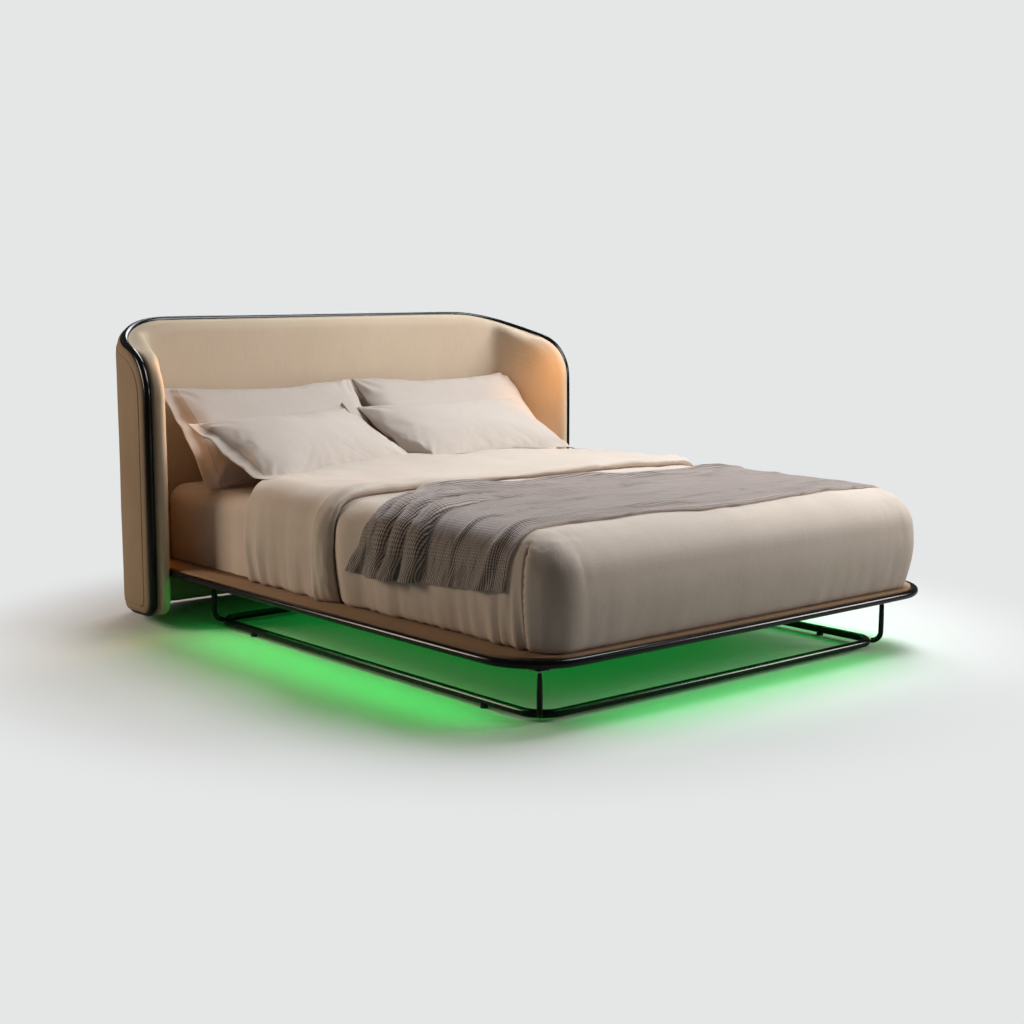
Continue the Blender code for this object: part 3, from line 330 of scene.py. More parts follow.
@dataclass(frozen=True)
class Velvet:
    """Short-pile upholstery velvet, which catches light at its edges and where the pile is brushed."""

    name: str
    colour: Colour
    worn: Colour
    pile_depth: float
    seam_runs: tuple[float, ...] = ()
    groove: tuple[float, float] = (0.0012, 0.004)
    stitch_offset: float = 0.006
    stitch_width: tuple[float, float] = (0.0006, 0.0013)
    stitches_per_metre: float = 180.0
    stitch_gap: float = 0.28

    def make(self) -> bpy.types.Material:
        """Builds the material.

        Returns:
            The material.
        """
        shader = Shader(self.name)
        place = shader.cloth_place()
        brushed = shader.grain(shader.stretched(place, (2.4, 1.3, 1)), 1.0, 4.0, 0.6).band(0.3, 0.72)
        streaks = shader.grain(shader.stretched(place, (230, 16, 1)), 1.0, 3.0, 0.6)
        pile = shader.grain(place, 520.0, 2.0, 0.6)
        colour = shader.blend(brushed, self.colour, self.worn)
        lit = (streaks * 0.6 + pile * 0.4).band(0.3, 0.75)
        colour = shader.blend(lit * 0.3, colour, shade(self.worn, 1.18))
        height = pile * 0.7 + streaks * 0.5
        if self.seam_runs:
            seam, stitches = self._seams(shader, place)
            colour = shader.blend(seam * 0.55, colour, shade(self.colour, 0.45))
            height = height * (1 - seam) + stitches
        return shader.finish({
            "Base Color": colour,
            "Roughness": 0.78 + 0.14 * brushed,
            "Sheen Weight": 0.28,
            "Sheen Roughness": 0.45,
            "Sheen Tint": shade(self.worn, 1.5),
            "Specular IOR Level": 0.25,
            "Normal": shader.relief(height, self.pile_depth),
        })

    def _seams(self, shader: Shader, place: Signal) -> tuple[Signal, Signal]:
        """Seams that run up the panel, each with a row of stitches on either side.

        Args:
            shader: The material.
            place: The point of the cloth.

        Returns:
            The seam's groove and the stitches' relief, from 0 to 1.
        """
        across, up, _ = shader.parts(place)
        dashes = (up * self.stitches_per_metre).fraction().over(self.stitch_gap)
        seam, stitches = 0.0, 0.0
        for run in self.seam_runs:
            away = abs(across - run)
            row = 1 - abs(away - self.stitch_offset).band(*self.stitch_width)
            seam = 1 - away.band(*self.groove) + seam
            stitches = row * dashes + stitches
        return seam, stitches


@dataclass(frozen=True)
class Seam:
    """A sewn line across a cloth, where the cloth is further than a distance from its middle."""

    place: float
    along_width: bool = False
    beyond: float = -1.0
    groove: float = 0.0016
    darkness: float = 0.8
    wander: float = 0.0015
    stitch_width: tuple[float, float] = (0.0005, 0.0011)
    stitches_per_metre: float = 260.0
    stitch_gap: float = 0.35

    def sew(self, shader: Shader, place: Signal) -> tuple[Signal, Signal]:
        """Sews the line.

        Args:
            shader: The material.
            place: The point of the cloth.

        Returns:
            The groove and the stitches, from 0 to 1.
        """
        across, along, _ = shader.parts(place)
        crossing, running = (across, along) if self.along_width else (along, across)
        away = abs(crossing - self.place + self.wander * shader.grain(place, 30.0))
        reach = abs(running).over(self.beyond)
        line = (1 - away.band(self.groove * 0.5, self.groove * 1.6)) * reach
        dashes = (running * self.stitches_per_metre).fraction().over(self.stitch_gap)
        return line, (1 - away.band(*self.stitch_width)) * dashes * reach


@dataclass(frozen=True)
class Percale:
    """Washed plain-weave cotton, with slubs in both directions and faint creases."""

    name: str
    colour: Colour
    shadow: Colour
    thread: float = 340.0
    slub: float = 0.07
    crease: float = 0.0009
    sheen: Colour = (1.0, 0.93, 0.92)
    seams: tuple[Seam, ...] = ()

    def make(self) -> bpy.types.Material:
        """Builds the material.

        Returns:
            The material.
        """
        shader = Shader(self.name)
        place = shader.cloth_place()
        slubs = self.thread * self.slub
        warp = shader.grain(shader.stretched(place, (self.thread, slubs, 1)), 1.0, 2.0, 0.6)
        weft = shader.grain(shader.stretched(place, (slubs, self.thread, 1)), 1.0, 2.0, 0.6)
        faded = shader.grain(place, 5.0, 4.0, 0.6).band(0.3, 0.75)
        crumple = shader.grain(shader.stretched(place, (26, 17, 1)), 1.0, 5.0, 0.62)
        weave = warp * 0.5 + weft * 0.5
        colour = shader.blend(faded * 0.55, self.colour, self.shadow)
        colour = shader.blend(weave.band(0.38, 0.66) * 0.35, colour, shade(self.colour, 1.12))
        creased = shader.relief(crumple, self.crease)
        for seam in self.seams:
            line, stitches = seam.sew(shader, place)
            colour = shader.blend(line * seam.darkness + stitches * 0.3, colour, shade(self.shadow, 0.34))
            weave = weave * (1 - line) + stitches * 0.6
        return shader.finish({
            "Base Color": colour,
            "Roughness": 0.84 + 0.1 * weave,
            "Sheen Weight": 0.22,
            "Sheen Roughness": 0.4,
            "Sheen Tint": self.sheen,
            "Specular IOR Level": 0.2,
            "Normal": shader.relief(weave, 0.0006, creased),
        })


@dataclass(frozen=True)
class WaffleKnit:
    """A soft waffle knit, with rows of raised ribs and thin crumples, and painted shade in the gaps between its
    ribs, along its crumples and in the valleys of its pleats.
    """

    name: str
    colour: Colour
    # The dark colour of the painted shade in the knit's gaps, crumples and pleat valleys
    hollow_shade: Colour
    rib_pitch: float = 0.0072
    row_pitch: float = 0.0064
    relief: float = 0.0022

    def make(self) -> bpy.types.Material:
        """Builds the material.

        Returns:
            The material.
        """
        shader = Shader(self.name)
        place = shader.cloth_place()
        wobble = shader.grain(place, 22.0, 2.0)
        across, along, _ = shader.parts(place)
        ribs = (along + 0.004 * wobble).wave(self.rib_pitch)
        rows = (across + 0.003 * wobble).wave(self.row_pitch)
        fuzz = shader.grain(place, 700.0, 3.0, 0.7)
        raised = ribs * 0.68 + rows * 0.32 + (fuzz - 0.5) * 0.4
        faded = shader.grain(place, 6.0, 3.0).band(0.3, 0.7)
        # Painted shade: the gaps between the raised ribs take the dark colour
        colour = shader.blend(raised.band(0.25, 0.85), self.hollow_shade, self.colour)
        colour = shader.blend(faded * 0.3, colour, shade(self.colour, 0.7))
        rumple = shader.grain(shader.stretched(place, (2.2, 13.0, 1.0)), 1.0, 2.0, 0.5)
        crumples = 1 - abs(rumple - 0.5).band(0.0, 0.035)
        # Painted shade along the crumple lines, which the bump also sinks
        colour = shader.blend(crumples * 0.45, colour, shade(self.hollow_shade, 0.9))
        raised = raised - crumples * 0.6
        # Painted shade in the valleys of the pleats, read from the throw's attribute
        deep = shader.node("ShaderNodeAttribute", {"attribute_name": PAINTED_PLEAT_SHADE}, {}, "Fac")
        colour = shader.blend(deep * 0.85, colour, shade(self.hollow_shade, 0.3))
        return shader.finish({
            "Base Color": colour,
            "Roughness": 0.9 + 0.08 * fuzz,
            "Sheen Weight": 1.0,
            "Sheen Roughness": 0.36,
            "Sheen Tint": (1.0, 0.94, 0.92),
            "Specular IOR Level": 0.15,
            "Normal": shader.relief(raised, self.relief),
        })


@dataclass(frozen=True)
class Ticking:
    """Knitted mattress ticking, quilted in diamonds."""

    name: str
    colour: Colour
    diamonds_per_metre: float = 9.0
    line: float = 0.16

    def make(self) -> bpy.types.Material:
        """Builds the material.

        Returns:
            The material.
        """
        shader = Shader(self.name)
        across, along, up = shader.parts(shader.place())
        quilt = self._quilted(across + along) * self._quilted(across - along)
        knit = shader.grain(shader.place(), 640.0, 2.0)
        border = up.band(0.24, 0.26)
        return shader.finish({
            "Base Color": shader.blend(quilt * 0.6 + knit * 0.4, shade(self.colour, 0.72), self.colour),
            "Roughness": 0.85 + 0.1 * knit,
            "Sheen Weight": 0.1,
            "Normal": shader.relief(quilt * 0.9 * (1 - border * 0.5) + knit * 0.1, 0.003),
        })

    def _quilted(self, run: Signal) -> Signal:
        """0 on the stitched lines that cross a run and 1 between them."""
        turns = run * self.diamonds_per_metre
        nearest = turns + 0.5 - (turns + 0.5).fraction()
        return abs(turns - nearest).band(0.0, self.line)


@dataclass(frozen=True)
class Timber:
    """Beech or plywood, with its grain along the piece and its layers in the edge."""

    name: str
    colour: Colour
    late: Colour
    layer: float = 0.0016

    def make(self) -> bpy.types.Material:
        """Builds the material.

        Returns:
            The material.
        """
        shader = Shader(self.name)
        place = shader.place()
        figure = shader.grain(shader.stretched(place, (2.2, 42, 42)), 1.0, 4.0, 0.62)
        pores = shader.grain(shader.stretched(place, (30, 700, 700)), 1.0, 2.0, 0.5)
        _, _, up = shader.parts(place)
        layers = up.wave(2 * self.layer)
        colour = shader.blend(figure.band(0.35, 0.65), self.colour, self.late)
        colour = shader.blend(pores.band(0.55, 0.75) * 0.4, colour, shade(self.late, 0.6))
        colour = shader.blend(layers * 0.12, colour, shade(self.late, 0.7))
        return shader.finish({
            "Base Color": colour,
            "Roughness": 0.5 + 0.2 * pores,
            "Coat Weight": 0.1,
            "Normal": shader.relief(pores * 0.5 + figure * 0.5, 0.0002),
        })


@dataclass(frozen=True)
class Metal:
    """Bare or plated metal, brushed along its length."""

    name: str
    colour: Colour
    roughness: float

    def make(self) -> bpy.types.Material:
        """Builds the material.

        Returns:
            The material.
        """
        shader = Shader(self.name)
        place = shader.place()
        brushed = shader.grain(shader.stretched(place, (60, 60, 900)), 1.0, 3.0, 0.6)
        dull = shader.grain(place, 30.0, 3.0).band(0.4, 0.7)
        return shader.finish({
            "Base Color": shader.blend(dull * 0.4, self.colour, shade(self.colour, 0.7)),
            "Metallic": 1.0,
            "Roughness": self.roughness + 0.12 * brushed + 0.1 * dull,
            "Normal": shader.relief(brushed, 0.00006),
        })


@dataclass(frozen=True)
class Moulding:
    """Moulded rubber or plastic with a fine spark-eroded texture."""

    name: str
    colour: Colour
    roughness: float

    def make(self) -> bpy.types.Material:
        """Builds the material.

        Returns:
            The material.
        """
        shader = Shader(self.name)
        place = shader.place()
        texture = shader.grain(place, 900.0, 2.0)
        dusty = shader.grain(place, 14.0, 4.0).band(0.45, 0.75)
        return shader.finish({
            "Base Color": shader.blend(dusty * 0.3, self.colour, shade(self.colour, 1.9)),
            "Roughness": self.roughness + 0.1 * texture,
            "Normal": shader.relief(texture, 0.0001),
        })


@dataclass(frozen=True)
class LitDiffuser:
    """An opal strip lit from behind."""

    name: str
    colour: Colour
    glow: Colour
    strength: float
    pitch: float = 0.0167

    def make(self) -> bpy.types.Material:
        """Builds the material.

        Returns:
            The material.
        """
        shader = Shader(self.name)
        place = shader.place()
        across, along, _ = shader.parts(place)
        lamps = (across + along).wave(self.pitch)
        return shader.finish({
            "Base Color": self.colour,
            "Roughness": 0.45 + 0.1 * shader.grain(place, 500.0),
            "Emission Color": shader.blend(lamps * 0.35, self.glow, shade(self.glow, 0.55)),
            "Emission Strength": self.strength,
        })


class Finish(Enum):
    """The finishes of the bed, each under the record's slot name."""

    BLACK_STEEL = Powdercoat("black_steel", (0.004, 0.004, 0.005), 0.16, 0.1)
    FRAME_STEEL = Powdercoat("frame_steel", (0.016, 0.016, 0.017), 0.48, 0.0)
    CAMEL_VELVET = Velvet("camel_velvet", (0.575, 0.45, 0.325), (0.635, 0.505, 0.375), 0.0006)
    # A darker, browner copy of the camel velvet for the headboard's outside, whose darkness is painted shade
    SHELL_VELVET = Velvet(
        "camel_velvet_outside", (0.25, 0.178, 0.115), (0.32, 0.238, 0.165), 0.0006, SHELL_SEAMS
    )
    # The deck's border: a brown velvet, partly its own brown and partly painted shade from the bedding that
    # overhangs it
    RIM_VELVET = Velvet("rim_velvet", (0.3, 0.19, 0.115), (0.36, 0.24, 0.15), 0.0005)
    BEECH = Timber("beech", (0.62, 0.45, 0.27), (0.5, 0.33, 0.18))
    PLYWOOD = Timber("plywood", (0.55, 0.4, 0.24), (0.42, 0.28, 0.15))
    RUBBER = Moulding("rubber", (0.018, 0.018, 0.018), 0.7)
    ALUMINIUM = Metal("aluminium", (0.62, 0.62, 0.64), 0.3)
    ZINC = Metal("zinc", (0.5, 0.5, 0.52), 0.28)
    DIFFUSER = LitDiffuser("green_diffuser", (0.05, 0.85, 0.2), (0.0, 1.0, 0.2), 2.0)
    DRIVER = Moulding("driver_plastic", (0.04, 0.04, 0.042), 0.5)
    TICKING = Ticking("mattress_ticking", (0.74, 0.7, 0.64))
    SHEET = Percale("taupe_cotton", (0.66, 0.56, 0.48), (0.57, 0.475, 0.4))
    DUVET = Percale(
        "duvet_cotton",
        (0.65, 0.555, 0.475),
        (0.58, 0.485, 0.405),
        seams=(Seam(DUVET_SEAM, beyond=DUVET_SEAM_START, groove=0.003),),
    )
    # Its second colour is the painted shade of the knit's hollows
    KNIT = WaffleKnit("throw_knit", (0.72, 0.6, 0.55), (0.13, 0.1, 0.088))
    PILLOW = Percale(
        "pillow_cotton",
        (0.6, 0.52, 0.46),
        (0.54, 0.46, 0.4),
        seams=(Seam(FLANGE_SEAM, along_width=True, groove=0.0012, darkness=0.3),),
    )


class Paintbox:
    """Makes each finish once."""

    def __init__(self) -> None:
        """Starts with nothing made."""
        self.made: dict[Finish, bpy.types.Material] = {}

    def get(self, finish: Finish) -> bpy.types.Material:
        """The material of a finish.

        Args:
            finish: The wanted finish.

        Returns:
            Its material, which is made at the first call.
        """
        if finish not in self.made:
            self.made[finish] = finish.value.make()
        return self.made[finish]


PAINTS = Paintbox()


# The bench on which pieces are made


def choose(piece: bpy.types.Object) -> None:
    """Selects one piece alone and makes it active."""
    bpy.ops.object.select_all(action="DESELECT")
    piece.select_set(True)
    bpy.context.view_layer.objects.active = piece


def add_primitive(add: Callable[..., object], name: str, **sizes: object) -> bpy.types.Object:
    """Adds one primitive under a name, alone in the selection.

    Args:
        add: The operator that adds it.
        name: Its name.
        sizes: What the operator is told of its size and place.

    Returns:
        The piece.
    """
    bpy.ops.object.select_all(action="DESELECT")
    add(**sizes)
    piece = bpy.context.object
    piece.name = piece.data.name = name
    return piece


def put_in_scene(name: str, data: bpy.types.ID) -> bpy.types.Object:
    """Makes an object of a mesh, a lamp or a camera."""
    made = bpy.data.objects.new(name, data)
    bpy.context.scene.collection.objects.link(made)
    return made


class Shaping:
    """Edit mode on one piece, with nothing selected when it starts."""

    def __init__(self, piece: bpy.types.Object, mode: str = "FACE") -> None:
        """Names the piece.

        Args:
            piece: The mesh object to shape.
            mode: What is selected: VERT, EDGE or FACE.
        """
        self.piece = piece
        self.mode = mode

    def __enter__(self) -> "Shaping":
        """Enters edit mode.

        Returns:
            This shaping.
        """
        choose(self.piece)
        bpy.ops.object.mode_set(mode="EDIT")
        bpy.ops.mesh.select_mode(type=self.mode)
        bpy.ops.mesh.select_all(action="DESELECT")
        return self

    def __exit__(self, *problem: object) -> None:
        """Leaves edit mode."""
        bpy.ops.object.mode_set(mode="OBJECT")

    def pick(self, test: Callable[[bmesh.types.BMEdge | bmesh.types.BMFace], bool]) -> None:
        """Selects the edges, or in face mode the faces, that pass a test, and no others.

        Args:
            test: Says whether an edge or a face is wanted.
        """
        bpy.ops.mesh.select_all(action="DESELECT")
        shape = bmesh.from_edit_mesh(self.piece.data)
        for item in shape.edges if self.mode == "EDGE" else shape.faces:
            if test(item):
                item.select_set(True)
        bmesh.update_edit_mesh(self.piece.data)


def read_rows(items: bpy.types.bpy_prop_collection, name: str) -> np.ndarray:
    """A point or normal of each vertex or face of a mesh, one to a row."""
    rows = np.empty(len(items) * 3)
    items.foreach_get(name, rows)
    return rows.reshape(-1, 3)


def read_points(piece: bpy.types.Object) -> np.ndarray:
    """Every vertex of a piece, one to a row."""
    return read_rows(piece.data.vertices, "co")


def write_points(piece: bpy.types.Object, points: np.ndarray) -> None:
    """Moves every vertex of a piece."""
    piece.data.vertices.foreach_set("co", points.ravel())
    piece.data.update()


def apply_all(piece: bpy.types.Object) -> None:
    """Applies every modifier of a piece."""
    choose(piece)
    for modifier in list(piece.modifiers):
        bpy.ops.object.modifier_apply(modifier=modifier.name)


def round_edges(piece: bpy.types.Object, width: float, segments: int) -> None:
    """Rounds the sharp edges of a piece.

    Args:
        piece: The piece.
        width: How much of each edge is cut away.
        segments: How many faces its rounding has.
    """
    edge = piece.modifiers.new("edge", "BEVEL")
    edge.width = width
    edge.segments = segments
    edge.limit_method = "ANGLE"
    apply_all(piece)


def smooth_surface(piece: bpy.types.Object, levels: int) -> None:
    """Smooths a piece by subdivision."""
    smooth = piece.modifiers.new("smooth", "SUBSURF")
    smooth.levels = smooth.render_levels = levels
    apply_all(piece)


def face_outwards(piece: bpy.types.Object) -> None:
    """Turns every face of a closed piece outwards."""
    with Shaping(piece):
        bpy.ops.mesh.select_all(action="SELECT")
        bpy.ops.mesh.normals_make_consistent(inside=False)


def hand_over(
    piece: bpy.types.Object, finish: Finish, nodes: Iterable[str] = (), angle: float = 60.0
) -> bpy.types.Object:
    """Finishes a piece: its smoothing, its material, its body and the nodes that it stands for.

    Args:
        piece: The piece.
        finish: Its finish.
        nodes: The CAD nodes that it replaces.
        angle: The greatest angle that is shaded smooth, in degrees.

    Returns:
        The piece.
    """
    choose(piece)
    bpy.ops.object.transform_apply(location=True, rotation=True, scale=True)
    bpy.ops.object.shade_smooth_by_angle(angle=math.radians(angle))
    piece.data.materials.clear()
    piece.data.materials.append(PAINTS.get(finish))
    if nodes:
        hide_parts(*nodes)
    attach(piece, ROOT)
    LOG.info("%s: %d faces, %s", piece.name, len(piece.data.polygons), finish.name.lower())
    return piece


def copy_node(node: str, name: str) -> bpy.types.Object:
    """A merged copy of a CAD node's mesh, in quads where it can be.

    Args:
        node: The CAD node.
        name: The new piece's name.

    Returns:
        The copy.
    """
    mesh = frame["nodes"][node].data.copy()
    mesh.name = name
    piece = put_in_scene(name, mesh)
    with Shaping(piece):
        bpy.ops.mesh.select_all(action="SELECT")
        bpy.ops.mesh.remove_doubles(threshold=0.00002)
        bpy.ops.mesh.tris_convert_to_quads(face_threshold=0.9, shape_threshold=0.9)
    return piece


def grid_box(name: str, counts: tuple[int, int, int], dropped: str = "") -> bpy.types.Object:
    """A unit cube from the origin, cut into a grid on every side.

    Args:
        name: The piece's name.
        counts: How many cells it has along each axis.
        dropped: The sides that are left out, such as "y+ z-".

    Returns:
        The piece.
    """
    piece = add_primitive(bpy.ops.mesh.primitive_cube_add, name, size=1, location=(0.5, 0.5, 0.5))
    bpy.ops.object.transform_apply(location=True)
    sides = [("xyz".index(axis), 1 if way == "+" else -1) for axis, way in dropped.split()]
    if sides:
        with Shaping(piece) as shaping:
            shaping.pick(lambda face: any(face.normal[axis] * way > 0.5 for axis, way in sides))
            bpy.ops.mesh.delete(type="FACE")
    with Shaping(piece, "EDGE") as shaping:
        for axis, count in enumerate(counts):
            if count > 1:
                shaping.pick(lambda edge: abs((edge.verts[0].co - edge.verts[1].co)[axis]) > 0.5)
                bpy.ops.mesh.subdivide(number_cuts=count - 1)
    return piece


def lay_cloth_map(piece: bpy.types.Object, places: Callable[[np.ndarray, np.ndarray], np.ndarray]) -> None:
    """Gives a piece the UV map that its cloth was cut by, in metres.

    Args:
        piece: The piece, whose vertices are still in its flat or boxed state.
        places: Gives each corner's place on the cloth, from its point and its face's normal.
    """
    mesh = piece.data
    corners = np.empty(len(mesh.loops), int)
    mesh.loops.foreach_get("vertex_index", corners)
    totals = np.empty(len(mesh.polygons), int)
    mesh.polygons.foreach_get("loop_total", totals)
    normals = np.repeat(read_rows(mesh.polygons, "normal"), totals, axis=0)
    while mesh.uv_layers:
        mesh.uv_layers.remove(mesh.uv_layers[0])
    layer = mesh.uv_layers.new(name="cloth")
    layer.data.foreach_set("uv", places(read_points(piece)[corners], normals).ravel())


def lumps(points: np.ndarray, scale: float | Sequence[float], seed: float, octaves: int = 3) -> np.ndarray:
    """Smooth noise from about -1 to 1 at each of a set of points.

    Args:
        points: The points, one to a row.
        scale: How many lumps there are to the metre, along each axis or all.
        seed: Which noise it is.
        octaves: How many finer layers it has.

    Returns:
        One number a point.
    """
    scaled = points * np.asarray(scale, float) + np.array((seed * 17.3, seed * 5.1, seed * 9.7))
    return np.array([noise.fractal(row, 0.9, 2.1, octaves) for row in scaled.tolist()])


def ease(share: np.ndarray | float) -> np.ndarray:
    """A smooth step from 0 to 1."""
    share = np.clip(share, 0, 1)
    return share * share * (3 - 2 * share)


def hump(distance: np.ndarray, width: float = 1.0) -> np.ndarray:
    """A bell of height 1, by the distance from its middle and its half width."""
    return np.exp(-((distance / width) ** 2))


def quarter_round(share: np.ndarray) -> np.ndarray:
    """The height of a quarter circle of radius 1, upright at its start and level at its end."""
    return np.sqrt(np.maximum(1 - (1 - np.clip(share, 0, 1)) ** 2, 0))


def directions(offsets: np.ndarray) -> np.ndarray:
    """The unit vector of each row."""
    return offsets / np.maximum(np.linalg.norm(offsets, axis=1), 1e-9)[:, None]


def soft_hold(points: np.ndarray, contact: Point, normal: Point, give: float) -> np.ndarray:
    """Keeps points on the side of a plane that its normal shows, with a soft start.

    Args:
        points: The points, one to a row.
        contact: A point of the plane.
        normal: Its normal.
        give: How softly the cloth meets the plane, in metres.

    Returns:
        The moved points.
    """
    normal = np.asarray(normal, float)
    above = (points - np.asarray(contact, float)) @ normal
    held = give * np.logaddexp(0, above / give)
    return points + np.outer(held - above, normal)


# The base and the deck


@dataclass
class SteelTube:
    """A round tube or bar: a smoothed copy of a node that the part has with eight sides."""

    node: str
    radius: float
    sides: int = 8
    restored: float = 0.93

    def build(self) -> bpy.types.Object:
        """Builds the tube, pushed out first by most of what smoothing draws it in.

        Returns:
            The piece.
        """
        piece = copy_node(self.node, self.node + "_round")
        kept = (2 + math.cos(2 * math.pi / self.sides)) / 3
        pushed = self.radius * (1 / kept - 1) * self.restored
        write_points(piece, read_points(piece) + read_rows(piece.data.vertices, "normal") * pushed)
        smooth_surface(piece, 2)
        return hand_over(piece, Finish.BLACK_STEEL, [self.node])


@dataclass
class Bolt:
    """A hexagon bolt with a washer, its head down."""

    across_flats: float = 0.010
    head: float = 0.0045
    head_edge: float = 0.0006
    washer_radius: float = 0.0085
    washer: float = 0.0012
    washer_edge: float = 0.0002

    def build(self, name: str, place: Vector) -> bpy.types.Object:
        """Builds one bolt.

        Args:
            name: Its name.
            place: The point on top of its washer.

        Returns:
            The piece.
        """
        add = bpy.ops.mesh.primitive_cylinder_add
        middle = place - Vector((0, 0, self.washer / 2))
        washer = add_primitive(
            add, name + "_washer", vertices=24, radius=self.washer_radius, depth=self.washer, location=middle
        )
        round_edges(washer, self.washer_edge, 2)
        middle = place - Vector((0, 0, self.washer + self.head / 2))
        radius = self.across_flats / math.sqrt(3)
        head = add_primitive(add, name, vertices=6, radius=radius, depth=self.head, location=middle)
        round_edges(head, self.head_edge, 2)
        choose(head)
        washer.select_set(True)
        bpy.ops.object.join()
        return hand_over(head, Finish.ZINC, angle=35)


@dataclass
class Base:
    """The steel under the bed: the floor ring, its uprights and flanges, the deck's frame and its lights."""

    ring_radius: float = 0.0125
    upright_radius: float = 0.0085
    bolt_offset: float = 0.018
    bead_radius: float = 0.0016
    bead_stand: float = 0.0008
    bead_drop: float = 0.0018
    bead_ripple: float = 0.0004
    rim_edge: float = 0.0045

    def build(self) -> None:
        """Builds the base and dresses its nodes."""
        for node in ("floor_ring", "platform_tube"):
            SteelTube(node, self.ring_radius).build()
        for end in ("foot", "head"):
            for side in ("left", "right"):
                SteelTube(f"upright_{end}_{side}", self.upright_radius).build()
                self._bolt_flange(f"flange_{end}_{side}")
                self._weld(end, side)
        self._dress_nodes()
        self._build_rim()

    def _bolt_flange(self, node: str) -> None:
        """Puts four bolts under a flange.

        Args:
            node: The flange.
        """
        low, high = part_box(node)
        middle = (low + high) / 2
        for number in range(4):
            across = self.bolt_offset * (1 if number > 1 else -1)
            along = self.bolt_offset * (1 if number % 2 else -1)
            Bolt().build(f"{node}_bolt_{number + 1}", Vector((middle.x + across, middle.y + along, low.z)))

    def _weld(self, end: str, side: str) -> None:
        """Runs a bead of weld round the top of an upright.

        Args:
            end: The upright's end of the bed.
            side: Its side of the bed.
        """
        low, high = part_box(f"flange_{end}_{side}")
        middle = (low + high) / 2
        _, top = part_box(f"upright_{end}_{side}")
        bead = add_primitive(
            bpy.ops.mesh.primitive_torus_add,
            f"weld_{end}_{side}",
            major_radius=self.upright_radius + self.bead_stand,
            minor_radius=self.bead_radius,
            major_segments=40,
            minor_segments=10,
            location=(middle.x, middle.y, top.z - self.bead_drop),
        )
        points = read_points(bead)
        turn = np.arctan2(points[:, 1], points[:, 0])
        points[:, 2] += self.bead_ripple * np.sin(turn * 17)
        write_points(bead, points)
        hand_over(bead, Finish.BLACK_STEEL)

    def _dress_nodes(self) -> None:
        """Gives the finish of each node that shows as it is."""
        finishes = {
            "frame_steel": Finish.FRAME_STEEL,
            "beech": Finish.BEECH,
            "plywood": Finish.PLYWOOD,
            "rubber": Finish.RUBBER,
            "aluminium": Finish.ALUMINIUM,
            "green_diffuser": Finish.DIFFUSER,
            "driver_plastic": Finish.DRIVER,
        }
        for part in frame["record"]["subparts"]:
            finish = finishes.get(part["material_slot"])
            if finish is None:
                continue
            node = frame["nodes"][part["node"]]
            node.data.materials.clear()
            node.data.materials.append(PAINTS.get(finish))
            LOG.info("%s: kept, %s", part["node"], finish.name.lower())

    def _build_rim(self) -> None:
        """Builds the upholstered border round the deck."""
        piece = copy_node("rim", "rim_cover")
        round_edges(piece, self.rim_edge, 4)
        lay_cloth_map(piece, lambda points, normals: points[:, :2] + points[:, 2:3] * np.array((0.0, 1.0)))
        # Its velvet is darkened partly with painted shade
        hand_over(piece, Finish.RIM_VELVET, ["rim"])


# The headboard


